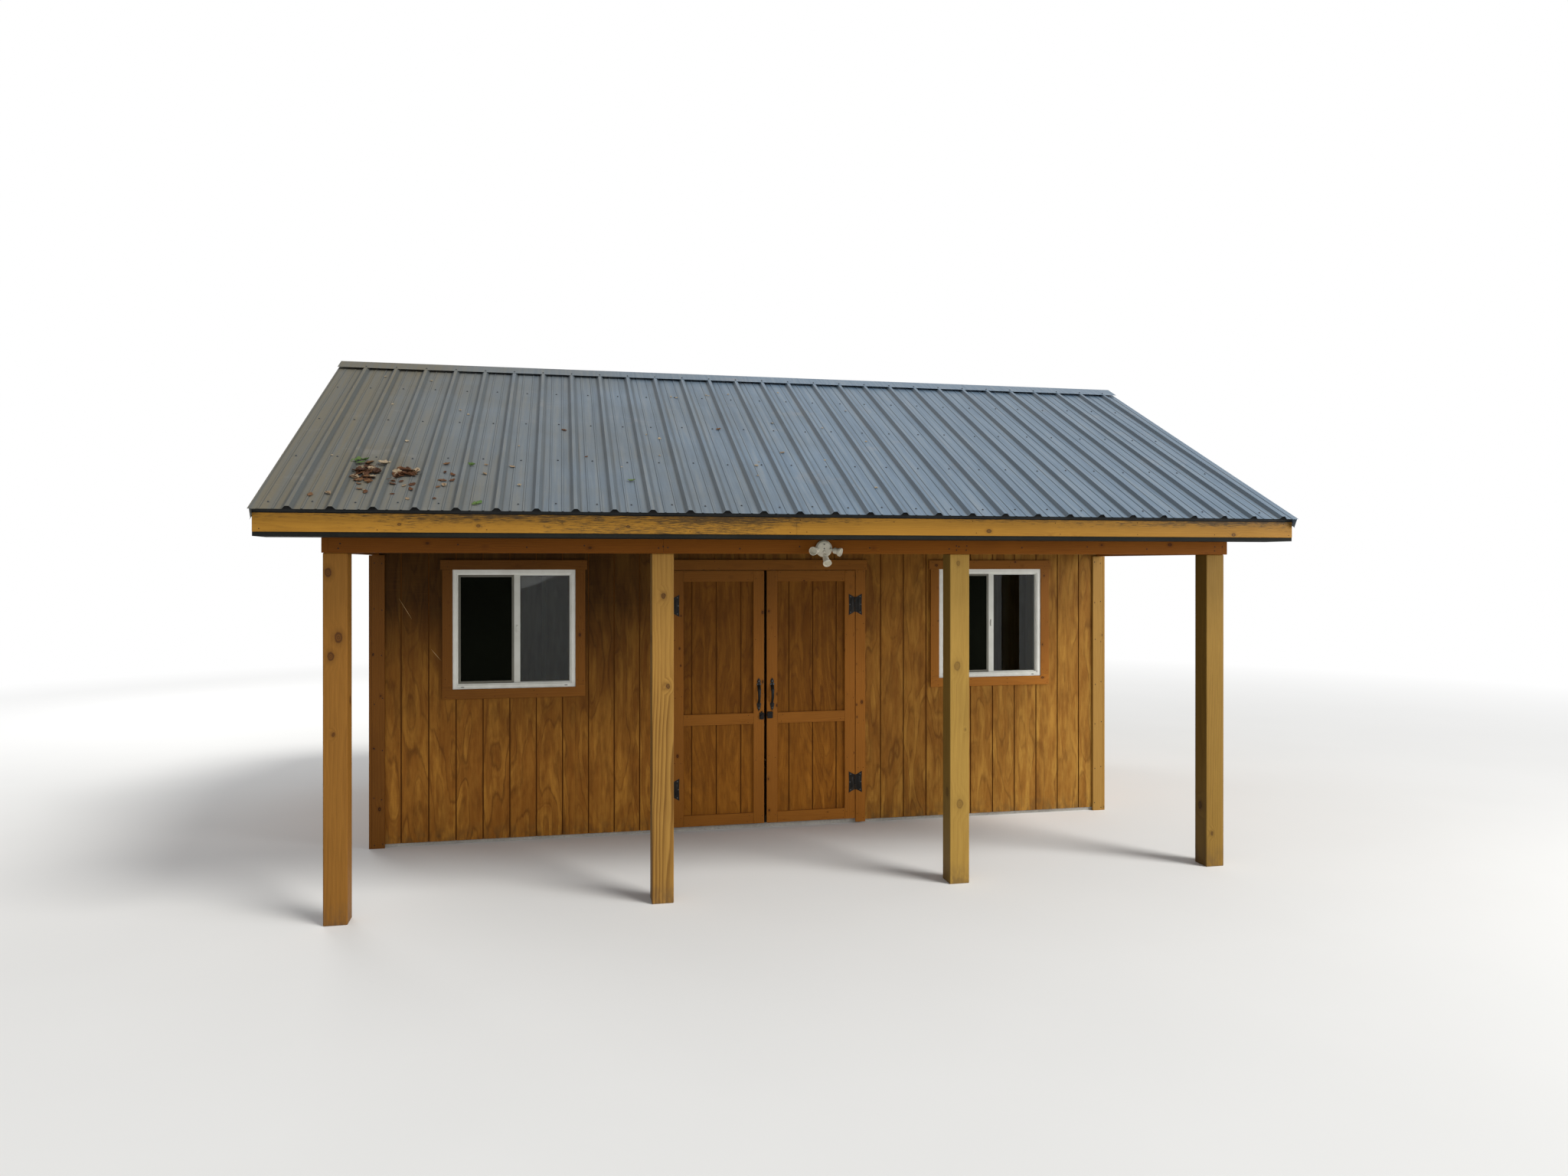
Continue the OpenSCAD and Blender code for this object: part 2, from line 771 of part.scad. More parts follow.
// A level panel with a lip that closes its front edge against the fascia
module soffit_outline(inner_y) {
    lip_y = fascia_face - soffit_setback;
    lip_back = lip_y - soffit_lip_t;
    z1 = soffit_z + soffit_t;
    polygon([[inner_y, soffit_z], [lip_y, soffit_z], [lip_y, fascia_z], [lip_back, fascia_z],
        [lip_back, z1], [inner_y, z1]]);
}

module soffits() {
    reach = board_edge_x;
    color(dark_soffit) {
        mirror([0, 1, 0]) along_x(-reach, reach) soffit_outline(beam_face);
        along_x(-reach, reach) soffit_outline(half_depth);
        box(stud_t - half_w, half_w - stud_t, stud_t - half_depth, wall_face, ceiling_z,
            plate_top);
    }
}

module rake_soffits() {
    n1 = -stud_t - seat_gap;
    color(dark_soffit) both_sides() for (end = [[-1, beam_face], [1, half_depth]])
        along_x(side_face, board_edge_x - stud_t) rake_strip(end[0], end[1], n1 - soffit_t, n1);
}

module eave_returns() {
    n0 = -stud_t - 2 * seat_gap - soffit_t;
    color(dark_soffit) both_sides() for (end = [[-1, beam_face], [1, half_depth]])
        along_x(side_face, board_edge_x - stud_t) polygon([
            [end[0] * end[1], soffit_z + soffit_t],
            [end[0] * (end[1] - soffit_t), soffit_z + soffit_t],
            [end[0] * (end[1] - soffit_t), roof_z(end[1] - soffit_t, n0)],
            [end[0] * end[1], roof_z(end[1], n0)]]);
}

// Turns the Z axis to point along v
module aim(v) {
    rotate([0, acos(v[2] / norm(v)), atan2(v[1], v[0])]) children();
}

// One lamp holder along +Z: a swivel ball and neck, a socket, and a flared rim with a recess
module lamp_holder(len) {
    ball_r = 12;
    neck_r = 8;
    socket_r = 20;
    rim_r = 28;
    wall = 3;
    rim_z = len - 13;
    flare_z = rim_z - 10;
    neck_z = 17;
    sphere(r = ball_r);
    rotate_extrude() polygon([
        [0, 0], [neck_r, 0], [neck_r, neck_z], [socket_r - wall, neck_z + wall],
        [socket_r, neck_z + 2 * wall], [socket_r, flare_z], [rim_r, rim_z],
        [rim_r, len], [rim_r - wall, len], [rim_r - wall, rim_z + wall],
        [socket_r - wall, flare_z], [0, flare_z]]);
}

module porch_light() {
    edge_t = light_plate_t / 2;
    crown = 2;
    color("ivory") translate([light_x, -beam_face, light_z]) {
        rotate([90, 0, 0]) rotate_extrude() polygon([
            [0, 0], [light_plate_r, 0], [light_plate_r, edge_t],
            [light_plate_r - edge_t, light_plate_t - crown], [0, light_plate_t]]);
        for (axis = holder_axes)
            translate(axis[0]) aim(axis[1] - axis[0]) lamp_holder(norm(axis[1] - axis[0]));
    }
}

// Hinges: plates with a stamped ridge, and a pin that the leaf's knuckle turns on
module hinge_plate() {
    bulge_r = (ridge_half_w * ridge_half_w + ridge_rise * ridge_rise) / (2 * ridge_rise);
    forwards(hinge_t) polygon([
        [plate_inner, -plate_waist], [plate_reach, -plate_half_h],
        [plate_reach - plate_hollow, 0], [plate_reach, plate_half_h],
        [plate_inner, plate_waist]]);
    intersection() {
        translate([ridge_x, bulge_r - ridge_rise - hinge_t, -ridge_half_h])
            cylinder(r = bulge_r, h = 2 * ridge_half_h);
        box(0, plate_reach, -2 * hinge_t - ridge_rise, 0, -ridge_half_h, ridge_half_h);
    }
}

module knuckle(z, h, r = knuckle_r) {
    translate([0, hinge_pin_y, z]) cylinder(r = r, h = h);
}

module leaf_hinge() {
    h = knuckle_h - knuckle_play;
    difference() {
        union() {
            translate([0, leaf_face, 0]) hinge_plate();
            box(0, plate_inner + cut, leaf_face - hinge_t, leaf_face, -h / 2, h / 2);
            knuckle(-h / 2, h);
        }
        knuckle(-h, 2 * h, hinge_bore_r);
    }
}

module frame_hinge() {
    mirror([1, 0, 0]) translate([0, leaf_face, 0]) hinge_plate();
    knuckle(-1.5 * knuckle_h, 3 * knuckle_h, hinge_pin_r);
    for (z = [-1.5 * knuckle_h, knuckle_h / 2]) {
        knuckle(z, knuckle_h);
        box(-plate_inner - cut, 0, leaf_face - hinge_t, leaf_face, z, z + knuckle_h);
    }
}

module at_hinges(side) {
    for (z = hinge_z) translate([pin_xs[side], 0, z])
        mirror([side, 0, 0]) children();
}

module frame_hinge_leaves() {
    color(iron) {
        at_hinges(0) frame_hinge();
        at_hinges(1) frame_hinge();
    }
}

// Door leaves: grooved plywood with stiles and rails laid on its face
module door_panel(side) {
    color(stain) front_strip(leaf_xs[side], leaf_xs[side] + leaf_w, leaf_z, leaf_z + leaf_h,
        leaf_groove_x);
}

module door_trim(side) {
    x0 = leaf_xs[side];
    x1 = x0 + leaf_w;
    w = leaf_trim_w;
    color(stain) {
        for (x = [x0, x1 - w])
            box(x, x + w, leaf_face, wall_face, leaf_z, leaf_z + leaf_h);
        for (z = [leaf_z, mid_rail_z, leaf_z + leaf_h - w])
            box(x0 + w + board_gap, x1 - w - board_gap, leaf_face, wall_face, z, z + w);
    }
}

module left_door_panel() {
    door_panel(0);
}

module left_door_trim() {
    door_trim(0);
}

module left_door_hinges() {
    color(iron) at_hinges(0) leaf_hinge();
}

module right_door_panel() {
    door_panel(1);
}

module right_door_trim() {
    door_trim(1);
}

module right_door_hinges() {
    color(iron) at_hinges(1) leaf_hinge();
}

// The grip follows an arc; angle a is measured from the arc's middle, positive upwards
function grip_width(a) =
    grip_foot_w + (grip_top_w - grip_foot_w) * (a + grip_angle) / (2 * grip_angle);
function grip_point(a, turn, grow) =
    let (w = grip_width(a) + grow, d = grip_depth + grow, r = grip_arc_r + d * sin(turn))
    [w * cos(turn), grip_arc_r - grip_rise - r * cos(a), r * sin(a)];

// A length of the grip between two angles, swelled by grow
module grip_length(a0, a1, steps, grow = 0) {
    n = grip_sides;
    points = [for (i = [0 : steps]) for (k = [0 : n - 1])
        grip_point(a0 + (a1 - a0) * i / steps, 360 * k / n, grow)];
    sides = [for (i = [0 : steps - 1]) for (k = [0 : n - 1])
        let (m = (k + 1) % n, here = i * n, next = here + n)
        each [[here + k, next + m, next + k], [here + k, here + m, next + m]]];
    first_end = [for (k = [n - 1 : -1 : 0]) k];
    last_end = [for (k = [0 : n - 1]) steps * n + k];
    polyhedron(points, concat(sides, [first_end, last_end]));
}

// Plates, drawn outwards from the grip's end: a spear with two lobes, and a tapering tongue
module spear_outline() {
    lobe_r = 9;
    lobe_x = 11;
    lobe_z = 8;
    leaf_r = 15;
    bulge_z = 33;
    tip_x = 12;
    tip_z = bulge_z + 9;
    neck_x = 10.5;
    for (side = [-1, 1]) translate([side * lobe_x, lobe_z]) circle(lobe_r);
    translate([0, bulge_z]) circle(leaf_r);
    polygon([[-tip_x, tip_z], [tip_x, tip_z], [0, spear_h]]);
    translate([-neck_x, -plate_root]) square([2 * neck_x, bulge_z + plate_root]);
}

module tongue_outline() {
    shoulder_r = 7;
    shoulder_x = 12;
    shoulder_z = 4;
    end_x = 10;
    end_z = 45;
    top_x = shoulder_x + shoulder_r;
    for (side = [-1, 1]) translate([side * shoulder_x, shoulder_z]) circle(shoulder_r);
    polygon([[-top_x, shoulder_z], [top_x, shoulder_z], [end_x, end_z], [0, tongue_h],
        [-end_x, end_z]]);
    translate([-shoulder_x, -plate_root]) square([2 * shoulder_x, plate_root + shoulder_z]);
}

module domed_plate() {
    intersection() {
        forwards(plate_rise) children();
        translate([0, dome_r - plate_rise, 0]) cylinder(r = dome_r, h = 4 * grip_half, center = true);
    }
}

module door_pull(side) {
    collar_a = [for (z = [collar_z - collar_h / 2, collar_z + collar_h / 2])
        asin(z / grip_arc_r)];
    color(iron) translate([pull_xs[side], leaf_face, pull_z]) {
        domed_plate() translate([0, grip_half]) spear_outline();
        domed_plate() mirror([0, 1]) translate([0, grip_half]) tongue_outline();
        intersection() {
            union() {
                grip_length(-grip_angle - grip_tail, grip_angle + grip_tail, grip_steps);
                grip_length(collar_a[0], collar_a[1], 2, collar_grow);
            }
            box(-dome_r, dome_r, -dome_r, 0, -2 * grip_half, 2 * grip_half);
        }
    }
}

module left_door_pull() {
    door_pull(0);
}

module right_door_pull() {
    door_pull(1);
}

// Latch: a keeper with a knob on the left leaf, and a bolt box on the right one
module rounded_plate(w, h, r) {
    translate([-w / 2, r - h / 2]) square([w, h - 2 * r]);
    translate([r - w / 2, -h / 2]) square([w - 2 * r, h]);
    for (x = [r - w / 2, w / 2 - r]) for (y = [r - h / 2, h / 2 - r])
        translate([x, y]) circle(r);
}

module left_door_latch() {
    base_t = 5;
    boss_r = 12;
    boss_t = 20;
    knob_r = 7;
    knob_z = keeper_h / 2 + 5;
    x = leaf_xs[0] + leaf_w - latch_inset - keeper_w / 2;
    color(iron) translate([x, leaf_face, latch_z - knob_r]) {
        forwards(base_t) rounded_plate(keeper_w, keeper_h, latch_corner_r);
        forwards(boss_t) circle(boss_r);
        translate([0, -knob_r, knob_z]) sphere(r = knob_r);
    }
}

module right_door_latch() {
    base_t = 4;
    base_lip = 3;
    nose_r = 6;
    nose_reach = 8;
    x = leaf_xs[1] + latch_inset + bolt_box_w / 2;
    nose_y = -bolt_box_t / 2;
    color(iron) translate([x, leaf_face, latch_z]) {
        forwards(bolt_box_t) rounded_plate(bolt_box_w, bolt_box_h, latch_corner_r);
        translate([base_lip / 2, 0, 0]) forwards(base_t)
            rounded_plate(bolt_box_w + base_lip, bolt_box_h + 2 * base_lip, latch_corner_r);
        translate([-bolt_box_w / 2 - nose_reach, nose_y, 0]) rotate([0, 90, 0])
            cylinder(r = nose_r, h = nose_reach + latch_corner_r);
    }
}

floor_slab();
porch_posts();
front_beam();
side_beams();
wall_plates();
wall_studs();
gable_studs();
wall_headers();
front_siding_left();
front_siding_right();
front_siding_over_door();
back_siding();
left_siding();
right_siding();
corner_boards();
door_jambs();
door_casing();
window_frames();
window_sashes();
window_glass();
insect_screens();
window_trim();
ceiling_joists();
rafters();
ridge_board();
purlins();
front_roof_sheet();
back_roof_sheet();
ridge_cap();
rake_flashing();
eave_flashing();
fascia_boards();
rake_boards();
soffits();
rake_soffits();
eave_returns();
porch_light();
frame_hinge_leaves();
left_door_panel();
left_door_trim();
left_door_hinges();
left_door_pull();
left_door_latch();
right_door_panel();
right_door_trim();
right_door_hinges();
right_door_pull();
right_door_latch();
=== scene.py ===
import json
import math
import random

import bmesh
import bpy
from mathutils import Matrix, Vector


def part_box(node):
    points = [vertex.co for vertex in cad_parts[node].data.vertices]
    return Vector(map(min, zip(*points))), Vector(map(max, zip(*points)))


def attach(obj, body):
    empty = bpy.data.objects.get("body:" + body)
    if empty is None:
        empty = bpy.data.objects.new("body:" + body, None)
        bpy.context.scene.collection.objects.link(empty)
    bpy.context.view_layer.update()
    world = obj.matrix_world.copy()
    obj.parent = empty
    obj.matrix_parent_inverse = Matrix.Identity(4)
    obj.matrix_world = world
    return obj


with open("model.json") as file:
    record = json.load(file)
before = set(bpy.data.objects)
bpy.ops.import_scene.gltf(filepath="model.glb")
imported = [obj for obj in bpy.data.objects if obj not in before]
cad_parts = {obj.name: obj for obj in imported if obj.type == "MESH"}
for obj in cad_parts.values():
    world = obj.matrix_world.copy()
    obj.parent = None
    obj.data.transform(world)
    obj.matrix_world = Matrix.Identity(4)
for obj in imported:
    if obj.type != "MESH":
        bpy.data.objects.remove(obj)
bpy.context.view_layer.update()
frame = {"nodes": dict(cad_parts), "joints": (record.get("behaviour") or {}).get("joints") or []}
nodes = frame["nodes"]
chance = random.Random(11)
draw = chance.uniform

# Main places, in metres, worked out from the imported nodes
wall_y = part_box("front_siding_left")[0].y
trim_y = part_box("door_casing")[0].y
beam_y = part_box("front_beam")[0].y
window_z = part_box("window_frames")[0].z
sheet_low, sheet_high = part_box("front_roof_sheet")
pin_xs = [joint["pos_m"][0] for joint in frame["joints"]]
FRONT = (0, -1, 0)

# The roof's shape: slope, ribs and the thickness of its sheets
SLOPE = math.atan(0.5)
RIB_PITCH = 0.2286
RIB_COUNT = 29
MIDDLE_RIB_X = 0.043
FIRST_RIB_X = MIDDLE_RIB_X - (RIB_COUNT - 1) / 2 * RIB_PITCH
RIB_H = 0.019
SEAT_GAP = 0.0003
SHEET_T = 0.0012
SHEET_TOP = SEAT_GAP + SHEET_T
RIB_TOP = SHEET_TOP + RIB_H
CAP_TOP = RIB_TOP + SEAT_GAP + SHEET_T
EAVE_Y = abs(sheet_low.y) - RIB_TOP * math.sin(SLOPE)
RIDGE_Z = sheet_low.z - SEAT_GAP * math.cos(SLOPE) + EAVE_Y * math.tan(SLOPE)
SLOPE_LENGTH = EAVE_Y / math.cos(SLOPE)


def put(name, data):
    """Makes an object and puts it into the scene."""
    made = bpy.data.objects.new(name, data)
    bpy.context.scene.collection.objects.link(made)
    return made


# Camera and light
def make_camera():
    data = bpy.data.cameras.new("camera")
    data.lens = 24.02
    data.sensor_width = 36
    data.shift_y = -0.01455
    data.clip_end = 500
    camera = put("camera", data)
    camera.location = (-1.646, -8.947, 2.186)
    camera.rotation_euler = (math.radians(89.93), 0, math.radians(-12.05))
    bpy.context.scene.camera = camera


# Name, kind, place, target, power, size in degrees for the sun or in metres, and colour
LAMPS = (
    ("key", "SUN", (8, -8, 13), (0, 0, 0), 1.8, 20, (1.0, 0.98, 0.94)),
    ("side", "AREA", (9.5, -8.0, 3.6), (0.6, -0.4, 1.2), 520, 4.5, (1, 1, 1)),
    ("front", "AREA", (-3.0, -13.0, 4.5), (0, -0.4, 1.3), 110, 6.0, (1, 1, 1)),
    ("rear", "AREA", (-7.5, 10.0, 6.0), (0, 0.8, 1.5), 420, 6.0, (1, 1, 1)))


def make_lamps():
    for name, kind, place, target, power, size, color in LAMPS:
        data = bpy.data.lights.new(name, kind)
        data.energy = power
        data.color = color
        if kind == "SUN":
            data.angle = math.radians(size)
        else:
            data.shape = "DISK"
            data.size = size
        lamp = put(name, data)
        lamp.location = place
        way = Vector(target) - Vector(place)
        lamp.rotation_euler = way.to_track_quat("-Z", "Y").to_euler()


# Node trees are written through two helpers: a tree, and a value that one of its nodes gives
class Tree:
    def __init__(self, owner):
        owner.use_nodes = True
        self.owner, self.tree = owner, owner.node_tree
        self.tree.nodes.clear()

    def feed(self, socket, value):
        if isinstance(value, Value):
            self.tree.links.new(value.socket, socket)
        else:
            socket.default_value = (*value, 1) if socket.type == "RGBA" else value

    def node(self, kind, *inputs, **named):
        """Makes a node. Its first inputs are fed in turn, other inputs and settings by name."""
        made = self.tree.nodes.new(kind)
        for name, value in named.items():
            if name in made.inputs:
                self.feed(made.inputs[name], value)
            else:
                setattr(made, name, value)
        for socket, value in zip(made.inputs, inputs):
            self.feed(socket, value)
        return made

    def value(self, kind, *inputs, output=0, **named):
        return Value(self, self.node(kind, *inputs, **named).outputs[output])

    def math(self, operation, a, b=0.0, clamp=False):
        return self.value("ShaderNodeMath", a, b, operation=operation, use_clamp=clamp)

    def mix(self, share, a, b, blend="MIX"):
        made = self.node("ShaderNodeMix", share, data_type="RGBA", blend_type=blend)
        self.feed(made.inputs[6], a)
        self.feed(made.inputs[7], b)
        return Value(self, made.outputs[2])

    def place(self):
        return self.value("ShaderNodeTexCoord", output="Object")

    def normal(self):
        return self.value("ShaderNodeNewGeometry", output="True Normal")

    def attribute(self, name, output="Vector"):
        return self.value("ShaderNodeAttribute", output=output, attribute_name=name)

    def finish(self, color, rough, bump=None, height=0.0, strength=0.0, metal=0.0, gloss=0.5,
               **constant):
        """Makes the shader with its bump, and gives the material."""
        shader = self.node("ShaderNodeBsdfPrincipled", color, metal, rough)
        shader.inputs["Specular IOR Level"].default_value = gloss
        for name, value in constant.items():
            shader.inputs[name.replace("_", " ")].default_value = value
        if bump is not None:
            bumpy = self.value("ShaderNodeBump", Strength=strength, Distance=height, Height=bump)
            self.feed(shader.inputs["Normal"], bumpy)
        self.node("ShaderNodeOutputMaterial", Value(self, shader.outputs[0]))
        return self.owner


class Value:
    """A number, place or colour that a node gives. Python's own signs make Math nodes."""

    def __init__(self, tree, socket):
        self.tree, self.socket = tree, socket

    def __add__(self, other):
        return self.tree.math("ADD", self, other)

    def __sub__(self, other):
        return self.tree.math("SUBTRACT", self, other)

    def __mul__(self, other):
        return self.tree.math("MULTIPLY", self, other)

    def __rmul__(self, other):
        return self.tree.math("MULTIPLY", other, self)

    def __truediv__(self, other):
        return self.tree.math("DIVIDE", self, other)

    def __pow__(self, other):
        return self.tree.math("POWER", self, other)

    def __abs__(self):
        return self.tree.math("ABSOLUTE", self)

    def axis(self, index):
        return self.tree.value("ShaderNodeSeparateXYZ", self, output=index)

    x = property(lambda self: self.axis(0))
    y = property(lambda self: self.axis(1))
    z = property(lambda self: self.axis(2))

    def span(self, a, b, low, high):
        """Goes from low, where this is a, to high, where it is b."""
        return self.tree.value("ShaderNodeMapRange", self, a, b, low, high)

    def rise(self, a, b, most=1.0):
        return self.span(a, b, 0.0, most)

    def wave(self, turns):
        """A sine of this, from 0 to 1, that comes round as often as said for each unit."""
        return self.tree.math("SINE", self * (2 * math.pi * turns)) * 0.5 + 0.5

    def vector(self, operation, other=(0, 0, 0)):
        output = 1 if operation in ("LENGTH", "DISTANCE") else 0
        return self.tree.value("ShaderNodeVectorMath", self, other, output=output,
                               operation=operation)

    def from_axis(self):
        """How far this place is from its Z axis."""
        return self.vector("MULTIPLY", (1, 1, 0)).vector("LENGTH")

    def noise(self, sizes, detail=2.0, rough=0.5, shift=(0, 0, 0)):
        """Noise of as many waves to a metre as sizes says, for each axis or for all three."""
        sizes = sizes if isinstance(sizes, tuple) else (sizes, sizes, sizes)
        at = self.vector("MULTIPLY", sizes).vector("ADD", shift)
        return self.tree.value("ShaderNodeTexNoise", Vector=at, Scale=1.0, Detail=detail,
                               Roughness=rough)

    def wander(self, sizes, reach):
        """Moves this place by up to about reach, along a slow random field."""
        field = self.tree.value("ShaderNodeTexNoise", Vector=self.vector("MULTIPLY", sizes),
                                Scale=1.0, Detail=2.0, output="Color")
        way = field.vector("SUBTRACT", (0.5, 0.5, 0.5)).vector("MULTIPLY", reach)
        return self.vector("ADD", way)

    def ramp(self, stops):
        """Turns this into a colour. A stop is a place and a colour, or a place and a grey."""
        made = self.tree.node("ShaderNodeValToRGB", self)
        points = made.color_ramp.elements
        while len(points) < len(stops):
            points.new(0.5)
        for point, (at, tone) in zip(points, stops):
            point.position = at
            point.color = (*tone, 1) if isinstance(tone, tuple) else (tone, tone, tone, 1)
        return Value(self.tree, made.outputs[0])

    def cover(self, tone, share):
        """This colour, covered by another one as far as share says."""
        return self.tree.mix(share, self, tone)

    def tint(self, tone):
        return self.tree.mix(1.0, self, tone, blend="MULTIPLY")


def new_material(name):
    """The tree of a new material, and the place on the object, in metres."""
    t = Tree(bpy.data.materials.new(name))
    return t, t.place()


def shade(color, factor):
    return tuple(c * factor for c in color)


# The world is white to the camera and in reflections, and a softer white as light
def seen_ray(t):
    camera, glossy, through = [t.value("ShaderNodeLightPath", output=f"Is {kind} Ray")
                               for kind in ("Camera", "Glossy", "Transmission")]
    return t.math("ADD", camera + glossy, through, clamp=True)


def make_world():
    world = bpy.data.worlds.new("studio")
    bpy.context.scene.world = world
    t = Tree(world)
    ambient = t.value("ShaderNodeBackground", (0.95, 0.97, 1.0), 0.40)
    white = t.value("ShaderNodeBackground", (1, 1, 1), 1.0)
    both = t.value("ShaderNodeMixShader", seen_ray(t), ambient, white)
    t.node("ShaderNodeOutputWorld", both)


# The floor is pale and matte, and turns to the world's white far from the building
def make_floor():
    t, at = new_material("pale_floor")
    far = at.from_axis().rise(6.0, 17.0) * seen_ray(t)
    pale = t.mix(at.noise(0.7, 3), (0.80, 0.80, 0.79), (0.84, 0.84, 0.83))
    near_shader = t.value("ShaderNodeBsdfDiffuse", pale)
    far_shader = t.value("ShaderNodeEmission", (1, 1, 1), 1.0)
    both = t.value("ShaderNodeMixShader", far, near_shader, far_shader)
    t.node("ShaderNodeOutputMaterial", both)
    data = bpy.data.meshes.new("floor")
    reach = 80
    corners = [(-reach, -reach, 0), (reach, -reach, 0), (reach, reach, 0), (-reach, reach, 0)]
    data.from_pydata(corners, [], [(0, 1, 2, 3)])
    data.materials.append(t.owner)
    floor = put("floor", data)


# Lumber: rings round a pith beside each board, that bend round knots, and open grain
KNOT_STRETCH = 0.72


def scattered_knots(at, knot_mm, knot_cells):
    """Knots in some cells of a random field: distance over size, and whether the cell has one."""
    squashed = at.vector("MULTIPLY", (1, 1, KNOT_STRETCH))
    cell = at.tree.node("ShaderNodeTexVoronoi", Vector=squashed, Scale=knot_cells)
    lot = Value(at.tree, cell.outputs["Color"]).x
    gap = Value(at.tree, cell.outputs["Distance"]) / knot_cells
    size = lot.span(0.4, 1.0, 0.5, 1.25) * (knot_mm / 1000)
    return gap / size, lot.rise(0.42, 0.46)


def placed_knots(place, knots):
    """Knots at stated places: distance over size, to the nearest one."""
    at = place.wander((40, 40, 30), (0.014, 0.014, 0.014))
    squashed = at.vector("MULTIPLY", (1, 1, KNOT_STRETCH))
    ratio = 99.0
    for x, y, z, radius in knots:
        gap = squashed.vector("DISTANCE", (x, y, z * KNOT_STRETCH))
        ratio = at.tree.math("MINIMUM", gap / radius, ratio)
    return ratio, 1.0


def lumber(name, pale, dark, knot, ring_mm, contrast, knot_mm, knot_cells=None, knots=(),
           rough=0.5, dirt=0.25, gloss=0.14, figure=None, after=None):
    """figure, if given, makes two factors: for how strongly the rings and the knots show."""
    t, place = new_material(name)
    at = t.attribute("grain")
    if knots:
        ratio, chosen = placed_knots(place, knots)
    else:
        ratio, chosen = scattered_knots(at, knot_mm, knot_cells)
    ring_share, knot_share = figure(place) if figure else (1.0, 1.0)

    flat = at.wander((5, 5, 0.9), (0.055, 0.055, 0)).wander((30, 30, 4), (0.004, 0.004, 0))
    reach = flat.from_axis() + at.z * 0.006
    swell = ratio.rise(4.5, 0.5, 1.4 * knot_mm / 1000) * chosen
    turn = t.math("FRACT", (reach + swell) * (1000 / ring_mm))
    patch = at.noise((4, 4, 1.1), 3, 0.6)
    ring = turn ** 1.7 * turn.rise(1.0, 0.82)
    ring = ring * patch.span(0.3, 0.6, 0.35, 1.0) * ring_share
    fibre = at.noise((430, 430, 6), 3, 0.62)
    color = t.mix(ring * contrast, pale, dark)
    color = color.cover(shade(dark, 0.36), ring.rise(1.0, 1.7, 0.8))
    color = color.cover(shade(dark, 0.75), fibre.rise(0.38, 0.75, 0.38))
    color = color.cover(shade(dark, 0.6), patch.rise(0.48, 0.78, dirt))

    chosen = knot_share * chosen
    halo = ratio.rise(2.6, 1.0, 0.55) * chosen
    heart = t.mix(ratio.wave(2.2), knot, shade(dark, 0.9))
    core = ratio.rise(1.06, 0.9) * chosen
    rim = abs(ratio - 1.0).rise(0.28, 0.05, 0.85) * chosen
    color = color.cover(shade(dark, 0.8), halo).cover(heart, core).cover(knot, rim)
    if after:
        color = after(place, color)
    return t.finish(color, fibre.span(0.3, 0.8, rough - 0.08, rough + 0.12),
                    fibre * 0.6 - ring * 0.5 - core * 0.3, height=0.0012, strength=0.5,
                    gloss=gloss)


# Knots on the posts' faces: x, y, z and radius. The first row is on the fronts
POST_KNOTS = (
    (-3.018, -2.206, 2.134, 0.018), (-2.959, -2.206, 1.741, 0.020), (-3.003, -2.206, 1.627, 0.017),
    (-2.987, -2.206, 1.156, 0.008), (-0.971, -2.206, 1.398, 0.010), (-1.000, -2.206, 1.98, 0.012),
    (1.003, -2.206, 1.488, 0.020), (1.022, -2.206, 0.546, 0.021), (1.061, -2.206, 1.053, 0.005),
    (1.010, -2.206, 2.190, 0.012), (2.955, -2.206, 0.240, 0.010),
    (-3.048, -2.150, 0.900, 0.019), (-2.908, -2.120, 1.350, 0.014), (-1.073, -2.140, 1.700, 0.018),
    (-0.933, -2.130, 0.750, 0.016), (0.951, -2.150, 0.620, 0.020), (1.091, -2.120, 1.750, 0.015),
    (2.908, -2.130, 0.430, 0.018), (3.048, -2.140, 1.600, 0.020), (-2.980, -2.066, 1.200, 0.018),
    (-1.010, -2.066, 0.600, 0.020), (1.030, -2.066, 1.100, 0.016), (2.970, -2.066, 1.900, 0.019))
POST_STOPS = (0.06, 0.34, 0.66, 0.97)
POST_REACH = 3.1


def by_post(at, tones):
    """Gives each of the four posts its own tone, from left to right."""
    return at.x.rise(-POST_REACH, POST_REACH).ramp(list(zip(POST_STOPS, tones)))


def post_figure(at):
    """The second post has bold grain near its foot, and the first and third are nearly plain."""
    rings = by_post(at, (0.26, 1.0, 0.19, 0.42)) * at.z.span(1.6, 1.3, 0.7, 1.9)
    return rings, by_post(at, (0.85, 1.0, 0.45, 0.8))


def tint_posts(at, color):
    """Brown at the left to olive at the right, damp feet; painted shade on left faces, partly on
    the first post.
    """
    color = color.tint(by_post(at, ((0.61, 0.44, 0.34), (0.84, 0.74, 0.80), (0.87, 0.86, 0.91),
                                    (0.60, 0.56, 0.51))))
    # Painted shade: faces that look to the left are darker
    color = color.tint(at.tree.normal().x.span(-0.3, -0.8, 1.0, 0.54))
    damp = at.z.rise(0.16, 0.0) * at.noise((30, 30, 12), 4, 0.65).rise(0.35, 0.6)
    return color.cover((0.09, 0.055, 0.03), damp * 0.6)


